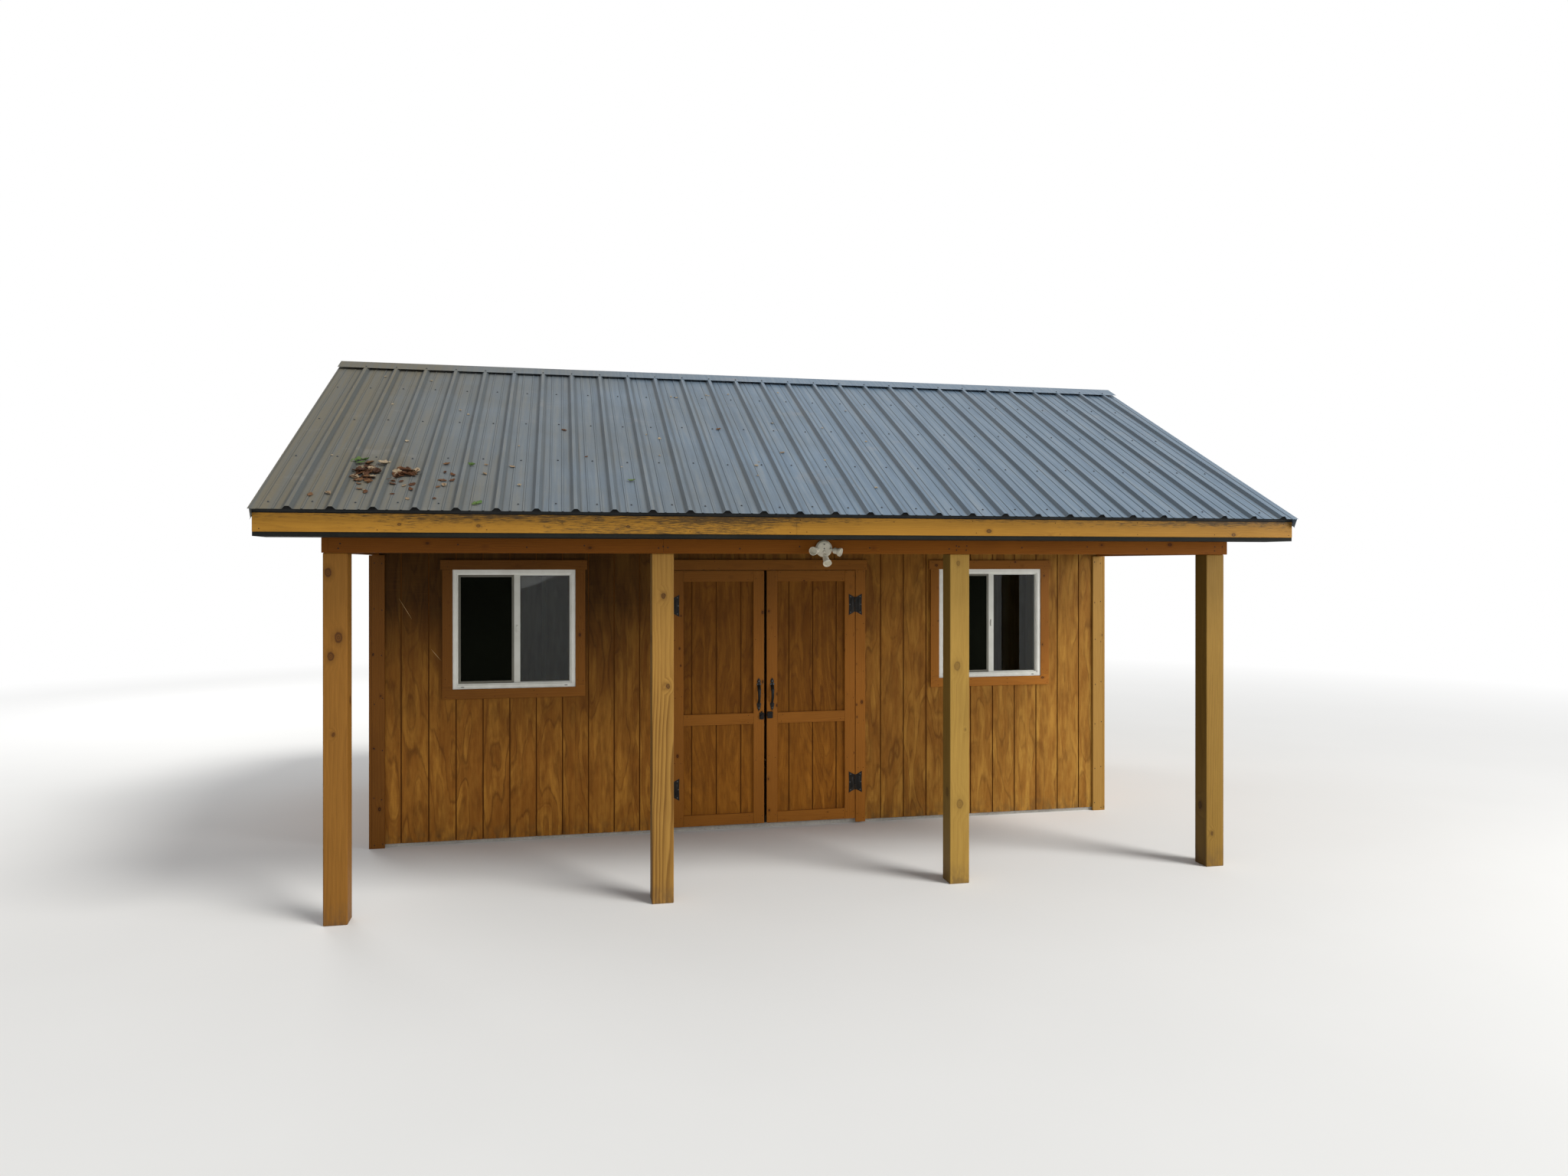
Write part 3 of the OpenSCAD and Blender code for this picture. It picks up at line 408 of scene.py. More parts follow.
def smudge_fascia(at, color):
    """Dark weather marks run along the boards, mostly near the top and beside the joint."""
    near = abs(at.x + 1.05).rise(1.2, 0.1, 0.19)
    broad = at.noise((0.9, 0.9, 6), 3, shift=(3.1, 0, 0)) + near
    streak = at.noise((13, 13, 190), 4, 0.7)
    dabs = at.noise((24, 24, 55), 4, 0.7)
    low = at.z.span(2.47, 2.42, 0.16, 0.0)
    mask = streak + low + broad.span(0.4, 0.72, -0.14, 0.13)
    color = color.tint(at.x.span(-3.2, 3.2, 1.08, 0.88))
    color = color.cover((0.055, 0.034, 0.014), mask.rise(0.58, 0.72, 0.9))
    spots = dabs + broad.span(0.4, 0.7, -0.08, 0.05)
    return color.cover((0.09, 0.05, 0.02), spots.rise(0.64, 0.72, 0.7))


# Painted shade: the beam darkens towards the left, where it lies in shade
def beam_painted_shade(at, color):
    return color.cover((0.085, 0.028, 0.006), at.x.span(-3.0, 2.6, 0.45, 0.0))


def trim_shade_and_stain(at, color):
    """Painted shade and darker stain: darkest at the left and under the eave, where the sun seldom
    comes.
    """
    return color.tint(at.x.span(-2.3, 0.8, 0.60, 1.15) * at.z.span(1.2, 2.3, 1.0, 0.62))


def siding_shade_and_stain(at, color):
    """Painted shade and darker stain: the front wall is darkest high up at its left, other walls
    nearly even.
    """
    height = at.z + (at.noise((1.4, 1.4, 1.0)) - 0.5) * 0.9
    west = height.span(0.55, 1.9, 1.3, 0.18)
    east = height.span(0.5, 2.4, 1.2, 0.88)
    other_wall = at.tree.normal().y.rise(-0.9, -0.5)
    share = at.tree.math("MAXIMUM", at.x.rise(-1.4, 1.4), other_wall)
    return color.tint(west + share * (east - west))


# Painted light and shade: the door panels are lighter low down and at the right, darker high up
# and at the left
def door_painted_light_and_shade(at, color):
    return color.tint(at.x.span(-0.7, 0.7, 0.88, 1.08) * at.z.span(0.4, 1.5, 1.75, 0.96))


# Rotary cut plywood: soft upright patches and the outlines of a slow field between them
def plywood(name, gold, brown, deep, shift, sizes, turns=4.0, contrast=1.0, sunny=None,
            after=None):
    t, at = new_material(name)
    field = at.wander((9, 9, 2.2), (0.05, 0.05, 0.20)).noise(sizes, 1.2, 0.45, shift)
    jag = at.noise((34, 34, 9), 5, 0.68) - 0.5
    fibre = at.noise((300, 300, 8), 3, 0.65)
    figure = field + jag * 0.06 + (fibre - 0.5) * 0.03
    band = figure.wave(turns)
    broad = at.noise((2.1, 2.1, 0.9), 4, 0.6, shift)
    strength = broad.span(0.36, 0.6, 0.3 * contrast, contrast)
    # Painted light and some real bleaching: towards the right and low down the colours turn to the
    # sunny set
    if sunny:
        sunlit_and_bleached = (at.x + (broad - 0.5) * 3.0 + at.z * -0.45).rise(0.0, 2.8)
        gold, brown, deep = [t.mix(sunlit_and_bleached, a, b) for a, b in zip((gold, brown, deep), sunny)]
    patch = at.noise((27, 27, 3.4), 3, 0.6, shift)
    color = t.mix(patch.rise(0.36, 0.62, 0.75), gold, brown)
    color = color.cover(brown, band.rise(0.2, 0.85, 0.6) * strength)
    color = color.cover(deep, abs(band - 0.5).rise(0.26, 0.0, 0.6) * strength)
    color = color.cover(deep, figure.wave(turns * 3.1).rise(0.75, 1.0, 0.2) * strength)
    blotch = at.noise((7, 7, 2.4), 4, 0.65, shift)
    color = color.cover(deep, blotch.rise(0.52, 0.72, 0.5))
    color = color.cover(gold, blotch.rise(0.48, 0.3, 0.5))
    if after:
        color = after(at, color)
    color = color.cover(brown, at.noise((5, 5, 260)).rise(0.55, 0.8, 0.2))
    color = color.cover(deep, fibre.rise(0.42, 0.8, 0.34))
    splash = at.z.rise(0.17, 0.03) * at.noise((26, 26, 14), 4).rise(0.42, 0.62)
    color = color.cover((0.07, 0.05, 0.022), splash * 0.5)
    return t.finish(color, fibre.span(0.3, 0.8, 0.5, 0.72), fibre * 0.8 - band * 0.3,
                    height=0.001, strength=0.5, gloss=0.08)


def groove_stain(name, color):
    t, at = new_material(name)
    grain = at.noise((120, 120, 5), 3, 0.6)
    return t.finish(t.mix(grain, shade(color, 0.6), shade(color, 1.3)), 0.8, gloss=0.1)


# Coated steel: dust that gathers on the shaded end, streaks down the slope and fine specks
def roof_metal(name, ribbed=True):
    t, at = new_material(name)
    streak = at.noise((36, 1.3, 1.3), 4, 0.65)
    speck = at.noise((75, 45, 45), 4, 0.7)
    bloom = at.noise((2.3, 4.2, 4.2), 4, 0.65)
    west = at.x + (at.noise(0.8, 4, 0.6) - 0.5) * 3.4
    dusty = west.span(0.1, -3.0, 0.04, 0.95) * streak.span(0.25, 0.7, 0.6, 1.0)
    color = t.mix(streak.rise(0.32, 0.68), (0.084, 0.138, 0.202), (0.163, 0.240, 0.325))
    color = color.cover((0.135, 0.106, 0.050), dusty)
    color = color.cover((0.20, 0.19, 0.165), streak.rise(0.5, 0.72, 0.35))
    color = color.cover((0.26, 0.24, 0.20), speck.rise(0.60, 0.74, 0.45))
    color = color.cover((0.05, 0.055, 0.06), speck.rise(0.40, 0.28, 0.4))
    color = color.cover((0.27, 0.26, 0.25), bloom.rise(0.60, 0.74, 0.3))
    if ribbed:
        from_rib = t.math("PINGPONG", at.x - FIRST_RIB_X, RIB_PITCH / 2)
        foot = from_rib.rise(0.026, 0.030) * from_rib.rise(0.042, 0.031)
        color = color.cover((0.035, 0.04, 0.04), foot * streak.span(0.3, 0.6, 0.3, 0.75))
        # Painted shade and painted dark reflection on the ribs' sloping flanks
        flank_shade = abs(t.normal().x).rise(0.10, 0.45, 0.62)
        color = color.cover((0.030, 0.042, 0.050), flank_shade)
    rough = (dusty + speck * 0.4).span(0.1, 1.1, 0.38, 0.8)
    return t.finish(color, rough, speck, height=0.0006, strength=0.25, metal=0.1, gloss=0.4)


def vinyl(name, color, grime):
    t, at = new_material(name)
    mottle = at.noise(9, 4, 0.6)
    foot = at.z.rise(window_z + 0.06, window_z, 0.5)
    made = t.mix(mottle.rise(0.4, 0.8, 0.35), color, grime)
    made = made.cover(shade(grime, 0.5), foot * mottle)
    return t.finish(made, mottle.span(0.3, 0.8, 0.32, 0.5), at.noise(500), height=0.0004,
                    strength=0.15, gloss=0.4)


def glass_pane():
    t, at = new_material("pane_glass")
    smear = at.noise((5, 5, 2), 4, 0.6)
    return t.finish((0.60, 0.66, 0.62), smear.rise(0.4, 0.8, 0.035), IOR=1.31,
                    Transmission_Weight=1.0)


def woven_screen():
    t, at = new_material("woven_screen")
    upright, level = [t.value("ShaderNodeTexWave", output=1, Vector=at, Scale=250.0,
                              bands_direction=way) for way in "XZ"]
    weave = t.math("MAXIMUM", upright, level) * at.noise(4, 3).span(0.3, 0.7, 0.6, 1.0)
    return t.finish(t.mix(weave, (0.002, 0.0025, 0.0015), (0.006, 0.007, 0.004)), 0.8, weave,
                    height=0.0003, strength=0.4, gloss=0.025, Alpha=0.95)


def plain(name, color, rough, grain, spread=0.3, bump=0.3, **look):
    """A finish of one hue, with a broad and a fine variation."""
    t, at = new_material(name)
    fine = at.noise(grain, 5, 0.65)
    share = (fine + at.noise(3, 3, 0.6)).rise(0.75, 1.3)
    made = t.mix(share, shade(color, 1 - spread), shade(color, 1 + spread))
    return t.finish(made, fine.span(0.3, 0.75, rough - 0.1, rough + 0.12), fine, height=0.0015,
                    strength=bump, **look)


def black_iron():
    t, at = new_material("powder_black")
    pebble = at.noise(330, 3, 0.6)
    worn = t.value("ShaderNodeNewGeometry", output="Pointiness").rise(0.52, 0.60)
    rub = worn * pebble.span(0.4, 0.7, 0.2, 1.0)
    made = t.mix(rub, (0.008, 0.007, 0.006), (0.060, 0.050, 0.040))
    dust = at.noise((25, 25, 12), 4, 0.6)
    made = made.cover((0.030, 0.020, 0.012), dust.rise(0.5, 0.8, 0.4))
    return t.finish(made, pebble.span(0.3, 0.8, 0.32, 0.52), pebble, height=0.0005,
                    strength=0.45, gloss=0.16)


def enamel():
    t, at = new_material("cream_enamel")
    grime = at.noise(22, 4, 0.65)
    made = t.mix(grime.rise(0.42, 0.72, 0.6), (0.62, 0.58, 0.47), (0.34, 0.30, 0.20))
    return t.finish(made, grime.span(0.3, 0.8, 0.35, 0.55), at.noise(380), height=0.0004,
                    strength=0.2)


# Each leaf and twig has its own tone, from dead brown over beige to green
LITTER_TONES = ((0.0, (0.045, 0.018, 0.008)), (0.35, (0.11, 0.045, 0.018)),
                (0.6, (0.20, 0.11, 0.05)), (0.8, (0.42, 0.34, 0.23)),
                (0.86, (0.10, 0.17, 0.045)), (1.0, (0.06, 0.13, 0.03)))


def litter():
    t, at = new_material("leaf_litter")
    vein = at.noise(150, 3)
    made = t.attribute("tone", "Fac").ramp(LITTER_TONES)
    made = made.cover((0.04, 0.02, 0.01), vein.rise(0.45, 0.7, 0.45))
    return t.finish(made, 0.75, vein, height=0.0008, strength=0.5, gloss=0.2)


TRIM_PALE = (0.33, 0.122, 0.016)
TRIM_DARK = (0.205, 0.068, 0.008)
TRIM_KNOT = (0.035, 0.011, 0.003)
SIDING_SHADED = ((0.365, 0.160, 0.024), (0.195, 0.068, 0.009), (0.090, 0.031, 0.005))
SIDING_SUNNY = ((0.38, 0.202, 0.038), (0.212, 0.084, 0.012), (0.100, 0.035, 0.006))
finishes = {
    "siding": plywood("stained_plywood", *SIDING_SHADED, (0, 0, 0), (6.5, 6.5, 1.2),
                      sunny=SIDING_SUNNY, after=siding_shade_and_stain),
    "door_panel": plywood("stained_door_plywood", (0.230, 0.088, 0.010), (0.132, 0.044, 0.004),
                          (0.062, 0.020, 0.003), (7.3, 1.1, 4.2), (4.5, 4.5, 0.8), turns=8,
                          after=door_painted_light_and_shade),
    "groove": groove_stain("groove_stain", (0.130, 0.046, 0.007)),
    "trim": lumber("stained_trim", TRIM_PALE, TRIM_DARK, TRIM_KNOT, ring_mm=11, contrast=0.6,
                   knot_mm=8, knot_cells=13, gloss=0.10, after=trim_shade_and_stain),
    "beam": lumber("stained_beam", (0.240, 0.076, 0.005), (0.135, 0.040, 0.003), TRIM_KNOT,
                   ring_mm=13, contrast=0.65, knot_mm=9, knot_cells=10, gloss=0.07,
                   after=beam_painted_shade),
    "post": lumber("post_pine", (0.46, 0.280, 0.056), (0.23, 0.120, 0.020),
                   (0.10, 0.048, 0.014), ring_mm=15, contrast=1.0, knot_mm=18,
                   knots=POST_KNOTS, rough=0.55, figure=post_figure, after=tint_posts),
    "pale_trim": lumber("golden_trim", (0.38, 0.208, 0.046), (0.24, 0.118, 0.022),
                        (0.10, 0.045, 0.015), ring_mm=9, contrast=0.7, knot_mm=9,
                        knot_cells=10, rough=0.55),
    "fascia": lumber("fascia_pine", (0.38, 0.185, 0.022), (0.25, 0.112, 0.012),
                     (0.06, 0.028, 0.009), ring_mm=9, contrast=0.5, knot_mm=9, knot_cells=8,
                     dirt=0.3, after=smudge_fascia),
    "framing": lumber("framing_lumber", (0.60, 0.44, 0.26), (0.42, 0.27, 0.13),
                      (0.15, 0.08, 0.035), ring_mm=8, contrast=0.6, knot_mm=14, knot_cells=6,
                      rough=0.72, dirt=0.12),
    "roof": roof_metal("roof_coating"),
    "roof_trim": roof_metal("roof_trim_coating", ribbed=False),
    "raw_plywood": plywood("raw_plywood", (0.47, 0.31, 0.155), (0.38, 0.235, 0.105),
                           (0.27, 0.15, 0.065), (2.1, 5.2, 3.3), (6.0, 6.0, 1.2), contrast=0.6),
    "vinyl": vinyl("frame_vinyl", (0.80, 0.80, 0.74), (0.50, 0.49, 0.40)),
    "sash": vinyl("sash_vinyl", (0.66, 0.66, 0.60), (0.42, 0.41, 0.34)),
    "glass": glass_pane(),
    "screen": woven_screen(),
    "screen_bar": plain("screen_bar_grey", (0.15, 0.145, 0.115), 0.5, 90, spread=0.2, gloss=0.25),
    "soffit": plain("soffit_slate", (0.014, 0.0145, 0.0125), 0.7, 60, gloss=0.06),
    "concrete": plain("slab_concrete", (0.40, 0.38, 0.34), 0.85, 55, spread=0.25, bump=0.6),
    "iron": black_iron(),
    "screw": plain("screw_steel", (0.10, 0.10, 0.10), 0.45, 200, metal=0.5),
    "nail": plain("nail_steel", (0.022, 0.012, 0.007), 0.6, 200, spread=0.4, gloss=0.2),
    "stained_nail": plain("stained_nail", (0.060, 0.022, 0.005), 0.6, 200, spread=0.4, gloss=0.1),
    "roof_screw": plain("roof_screw_paint", (0.030, 0.036, 0.042), 0.5, 120),
    "dark_flashing": plain("eave_flashing_charcoal", (0.022, 0.023, 0.023), 0.55, 70,
                           spread=0.35, gloss=0.15),
    "closure": plain("foam_closure", (0.012, 0.012, 0.012), 0.9, 150, gloss=0.05),
    "gasket": plain("window_gasket", (0.02, 0.02, 0.02), 0.6, 100),
    "splinter": plain("bare_splinter", (0.50, 0.33, 0.16), 0.7, 150, spread=0.25, gloss=0.15),
    "enamel": enamel(),
    "litter": litter(),
}

# Boards: the separate boxes inside a node, found by joining faces that share a corner
CORNERS_IN_METRE = 20000


def find_boards(node_name):
    """The boards' vertices and boxes, sorted by their low corners."""
    mesh = nodes[node_name].data
    parent = {}

    def root(k):
        while parent[k] != k:
            parent[k] = parent[parent[k]]
            k = parent[k]
        return k

    keys = [tuple(round(c * CORNERS_IN_METRE) for c in v.co) for v in mesh.vertices]
    for k in keys:
        parent.setdefault(k, k)
    for face in mesh.polygons:
        first = root(keys[face.vertices[0]])
        for v in face.vertices[1:]:
            parent[root(keys[v])] = first
    boards = {}
    for i, k in enumerate(keys):
        boards.setdefault(root(k), []).append(i)
    made = []
    for indices in boards.values():
        points = [mesh.vertices[i].co for i in indices]
        low = Vector([min(p[a] for p in points) for a in range(3)])
        high = Vector([max(p[a] for p in points) for a in range(3)])
        made.append((indices, low, high))
    return sorted(made, key=lambda board: tuple(round(c, 4) for c in board[1]))


def grain_way(low, high, sloped):
    if sloped:
        side = 1 if (low.y + high.y) > 0 else -1
        return Vector((0, side * math.cos(SLOPE), -math.sin(SLOPE)))
    size = high - low
    longest = max(range(3), key=lambda a: size[a])
    return Vector([1.0 if a == longest else 0.0 for a in range(3)])


def write_grain(node_name, sloped=False):
    """Gives each board its own piece of wood: across, across and along, from beside a pith."""
    mesh = nodes[node_name].data
    grain = mesh.attributes.new("grain", "FLOAT_VECTOR", "POINT")
    for indices, low, high in find_boards(node_name):
        turned = grain_way(low, high, sloped).to_track_quat("Z", "Y").to_matrix().transposed()
        middle = (low + high) / 2
        pith = Vector((draw(0.03, 0.16), draw(0.02, 0.12), draw(-20, 20)))
        for i in indices:
            grain.data[i].vector = turned @ (mesh.vertices[i].co - middle) + pith


LUMBER = ("post", "beam", "framing", "fascia", "trim")
SAME_POINT = 0.00005


def dress(finish, *node_names, sloped=False, round_mm=0.0):
    for node_name in node_names:
        part = nodes[node_name]
        part.data.materials.clear()
        part.data.materials.append(finishes[finish])
        if finish in LUMBER:
            write_grain(node_name, sloped)
        if round_mm:
            part.modifiers.new("weld", "WELD").merge_threshold = SAME_POINT
            bevel = part.modifiers.new("ease", "BEVEL")
            bevel.width = round_mm / 1000
            bevel.segments = 2
            bevel.limit_method = "ANGLE"
            bevel.angle_limit = math.radians(35)


def second_finish(node_name, finish, chosen):
    """Gives the faces for which chosen is true another finish."""
    part = nodes[node_name]
    part.data.materials.append(finishes[finish])
    for face in part.data.polygons:
        if chosen(face):
            face.material_index = len(part.data.materials) - 1


def darken_grooves(node_name, axis, side, bare_inside=False):
    """Faces behind the siding's outer face are stained dark, and its inner face may be bare."""
    low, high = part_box(node_name)
    outer = high[axis] if side > 0 else low[axis]
    thickness = high[axis] - low[axis]
    margin = 0.002

    def in_groove(face):
        behind = abs(face.center[axis] - outer)
        return margin < behind < thickness - margin and abs(face.normal.z) < 0.5

    second_finish(node_name, "groove", in_groove)
    if bare_inside:
        second_finish(node_name, "raw_plywood",
                      lambda face: abs(face.center[axis] - outer) > thickness - margin)


# Nodes of siding, each with the axis across its wall and the side of its outer face
SIDING = (("front_siding_left", 1, -1), ("front_siding_right", 1, -1),
          ("front_siding_over_door", 1, -1), ("back_siding", 1, 1),
          ("left_siding", 0, -1), ("right_siding", 0, 1))
SCREEN_DEPTH = 0.0035


def dress_nodes():
    dress("post", "porch_posts", round_mm=5)
    dress("beam", "front_beam", "side_beams", round_mm=3)
    dress("framing", "wall_plates", "wall_studs", "wall_headers", "ceiling_joists",
          "ridge_board", "gable_studs", round_mm=2)
    dress("framing", "purlins")
    dress("framing", "rafters", sloped=True)
    dress("fascia", "fascia_boards", round_mm=2)
    dress("fascia", "rake_boards", sloped=True, round_mm=2)
    dress("trim", "corner_boards", "door_casing", "window_trim", "left_door_trim",
          "right_door_trim", round_mm=1.5)
    # The right corner boards are paler and golden: partly their own colour, partly painted light
    second_finish("corner_boards", "pale_trim", lambda face: face.center.x > 0)
    dress("trim", "door_jambs")
    for name, axis, side in SIDING:
        dress("siding", name)
        darken_grooves(name, axis, side, bare_inside=True)
    for name in ("left_door_panel", "right_door_panel"):
        dress("door_panel", name)
        darken_grooves(name, 1, -1)
    dress("roof", "front_roof_sheet", "back_roof_sheet")
    dress("roof_trim", "ridge_cap", "rake_flashing")
    dress("dark_flashing", "eave_flashing")
    dress("vinyl", "window_frames", round_mm=2)
    dress("sash", "window_sashes", round_mm=1.5)
    dress("glass", "window_glass")
    dress("screen_bar", "insect_screens")
    screen_low, screen_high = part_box("insect_screens")
    mesh_y = (screen_low.y + screen_high.y) / 2
    second_finish("insect_screens", "screen", lambda face: abs(face.normal.y) > 0.9
                  and abs(face.center.y - mesh_y) < SCREEN_DEPTH)
    dress("soffit", "soffits", "rake_soffits", "eave_returns")
    dress("concrete", "floor_slab", round_mm=3)
    dress("enamel", "porch_light", round_mm=0.8)
    for name in nodes:
        if any(word in name for word in ("hinge", "pull", "latch")):
            dress("iron", name, round_mm=0.6)


def oval(half_w, half_h, count=12):
    turns = [2 * math.pi * k / count for k in range(count)]
    return [(half_w * math.cos(a), half_h * math.sin(a)) for a in turns]


def placed(at, way):
    """A matrix that puts a shape at a place, with its Z axis along way."""
    return Matrix.Translation(at) @ Vector(way).to_track_quat("Z", "Y").to_matrix().to_4x4()


# Pieces: small shapes are gathered into one mesh
class Piece:
    def __init__(self, name, finish, slot, body="building"):
        self.name, self.finish, self.slot, self.body = name, finish, slot, body
        self.mesh = bmesh.new()

    def face(self, corners):
        unique = list(dict.fromkeys(corners))
        if len(unique) > 2:
            self.mesh.faces.new(unique)

    def turned(self, profile, at, way=FRONT, sides=10, spin=0.0):
        """Revolves a profile of (radius, height) pairs about the direction way."""
        matrix = placed(at, way) @ Matrix.Rotation(spin, 4, "Z")
        rings = []
        for radius, height in profile:
            ring = oval(radius, radius, sides)[:sides if radius else 1]
            rings.append([self.mesh.verts.new(matrix @ Vector((*p, height))) for p in ring])
        for a, b in zip(rings, rings[1:]):
            for k in range(sides):
                self.face([a[k % len(a)], a[(k + 1) % len(a)], b[(k + 1) % len(b)],
                           b[k % len(b)]])

    def slab(self, outline, depth, matrix, inset=0.0):
        """Extrudes a closed outline in X and Y by depth along Z, with its top drawn in."""
        count = len(outline)
        middle = Vector((sum(p[0] for p in outline) / count, sum(p[1] for p in outline) / count))
        tops = [middle + (Vector(p) - middle) * (1 - inset) for p in outline]
        low = [self.mesh.verts.new(matrix @ Vector((*p, 0))) for p in outline]
        high = [self.mesh.verts.new(matrix @ Vector((*p, depth))) for p in tops]
        for k in range(count):
            self.face([low[k], low[(k + 1) % count], high[(k + 1) % count], high[k]])
        self.face(high)
        self.face(list(reversed(low)))

    def done(self, smooth=True):
        data = bpy.data.meshes.new(self.name)
        bmesh.ops.recalc_face_normals(self.mesh, faces=self.mesh.faces)
        self.mesh.to_mesh(data)
        self.mesh.free()
        data.materials.append(finishes[self.finish])
        made = put(self.name, data)
        if smooth:
            data.shade_smooth()
            made.modifiers.new("edges", "EDGE_SPLIT").split_angle = math.radians(40)
        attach(made, self.body)
        self.slot
        return made


def outward(x, y, z):
    """A matrix that turns an outline drawn in X and Y into one in X and Z on the front."""
    return Matrix(((1, 0, 0, x), (0, 0, -1, y), (0, 1, 0, z), (0, 0, 0, 1)))


def roof_point(side, x, s, n):
    """A point s down the slope from the ridge and n above the purlins; side -1 is the front."""
    return Vector((x, side * (s * math.cos(SLOPE) + n * math.sin(SLOPE)),
                   RIDGE_Z - s * math.sin(SLOPE) + n * math.cos(SLOPE)))


def roof_normal(side):
    return Vector((0, side * math.sin(SLOPE), math.cos(SLOPE)))


def along_slope(side, at, down):
    """A matrix for an outline across the slope, that is extruded down it, or up for down -1."""
    up = roof_normal(side)
    way = (roof_point(side, 0, 1, 0) - roof_point(side, 0, 0, 0)) * down
    return Matrix(((1, 0, 0, at.x), (0, up.y, way.y, at.y), (0, up.z, way.z, at.z), (0, 0, 0, 1)))


# Roof screws: a washer and a hexagonal head, in rows over the purlins
WASHER = [(0.0072, 0.0), (0.0072, 0.0012), (0.0048, 0.002), (0, 0.002)]
HEX_HEAD = [(0.0046, 0.0015), (0.0046, 0.0048), (0.0037, 0.0056), (0, 0.0056)]
SCREW_ROWS = (0.614, 1.338, 2.062, 2.784)
SCREW_EDGE = 0.03
CAP_SCREW_S = 0.115


def roof_screw(piece, side, x, s, n):
    at = roof_point(side, x, s, n)
    piece.turned(WASHER, at, roof_normal(side), sides=12)
    piece.turned(HEX_HEAD, at, roof_normal(side), sides=6, spin=draw(0, 1))


def roof_screws():
    for side, name in ((-1, "front_roof_screws"), (1, "back_roof_screws")):
        piece = Piece(name, "roof_screw", "roof_metal")
        for s in SCREW_ROWS:
            for i in range(-1, RIB_COUNT):
                x = FIRST_RIB_X + (i + draw(0.44, 0.56)) * RIB_PITCH
                if sheet_low.x + SCREW_EDGE < x < sheet_high.x - SCREW_EDGE:
                    roof_screw(piece, side, x, s + draw(-0.012, 0.012), SHEET_TOP)
        piece.done()


# The sheets have two shallow ribs in each pan. Their outer strips get the same ribs here
SHALLOW_RIB = ((-0.008, 0), (0.008, 0), (0.004, 0.003), (-0.004, 0.003))
SHALLOW_SHIFT = 0.038
SHALLOW_EDGE = 0.045


def edge_ribs():
    cap_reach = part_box("ridge_cap")[1].y / math.cos(SLOPE)
    start, end = cap_reach - 0.02, SLOPE_LENGTH - 0.001
    for side, name in ((-1, "front_edge_ribs"), (1, "back_edge_ribs")):
        piece = Piece(name, "roof", "roof_metal")
        for i in (-1, RIB_COUNT - 1):
            for shift in (-SHALLOW_SHIFT, SHALLOW_SHIFT):
                x = FIRST_RIB_X + (i + 0.5) * RIB_PITCH + shift
                if sheet_low.x + SHALLOW_EDGE < x < sheet_high.x - SHALLOW_EDGE:
                    at = roof_point(side, x, start, SHEET_TOP)
                    piece.slab(SHALLOW_RIB, end - start, along_slope(side, at, 1))
        piece.done(smooth=False)


# Narrow strips close the laps between neighbouring sheets of siding
LAP_MOST = 0.002
LAP_INSET = 0.003
LAP_DEPTH = 0.007
LAP_PLAY = 0.0001


def siding_laps():
    piece = Piece("siding_laps", "groove", "siding_wood")
    for name, across, side in SIDING:
        along = 1 - across
        mesh = nodes[name].data
        sheets = find_boards(name)
        for indices, low, high in sheets:
            for _, next_low, next_high in sheets:
                gap = next_low[along] - high[along]
                bottom = max(low.z, next_low.z)
                edge = [mesh.vertices[i].co.z for i in indices
                        if high[along] - mesh.vertices[i].co[along] < 0.001]
                top = min(max(edge), next_high.z)
                if not 0 < gap < LAP_MOST or top - bottom < 0.1:
                    continue
                face = high[across] - LAP_INSET if side < 0 else low[across] + LAP_INSET
                corners = []
                for a, c in ((0, 0), (1, 0), (1, 1), (0, 1)):
                    corner = [0.0, 0.0]
                    corner[along] = high[along] + LAP_PLAY + a * (gap - 2 * LAP_PLAY)
                    corner[across] = face + side * LAP_DEPTH * c
                    corners.append(corner)
                piece.slab(corners, top - bottom - 0.002,
                           Matrix.Translation((0, 0, bottom + 0.001)))
    piece.done(smooth=False)


def cap_screws():
    piece = Piece("ridge_cap_screws", "roof_screw", "roof_metal")
    for side in (-1, 1):
        for i in range(RIB_COUNT):
            roof_screw(piece, side, FIRST_RIB_X + i * RIB_PITCH, CAP_SCREW_S, CAP_TOP)
    piece.done()


# Foam plugs close the ribs a little behind the sheets' lower edges; their near black is also
# painted shade in the rib ends
def rib_closures():
    piece = Piece("rib_closures", "closure", "roof_metal")
    play, setback, depth = 0.0004, 0.008, 0.025
    half_foot, half_top = 0.029 - play, 0.011 - play
    foot_n, top_n = SEAT_GAP + play, SEAT_GAP + RIB_H - play
    outline = [(-half_foot, foot_n), (half_foot, foot_n), (half_top, top_n), (-half_top, top_n)]
    for side in (-1, 1):
        for i in range(RIB_COUNT):
            start = roof_point(side, FIRST_RIB_X + i * RIB_PITCH, SLOPE_LENGTH - setback, 0)
            piece.slab(outline, depth, along_slope(side, start, -1))
    piece.done(smooth=False)


# Nails: shallow round heads in pairs along the boards
NAIL = [(0.0050, -0.0006), (0.0050, 0.0004), (0.0036, 0.0010), (0, 0.0012)]
SMALL_NAIL = [(0.0034, -0.0004), (0.0034, 0.0002), (0.0024, 0.0005), (0, 0.0006)]
NAIL_EDGE = 0.018
NAIL_END = 0.04
NAILS_MISSING = 0.12
SILL_H = 0.094
FASCIA_H = 0.140


def nail(piece, at, way=FRONT, profile=NAIL):
    piece.turned(profile, at, way, sides=8)


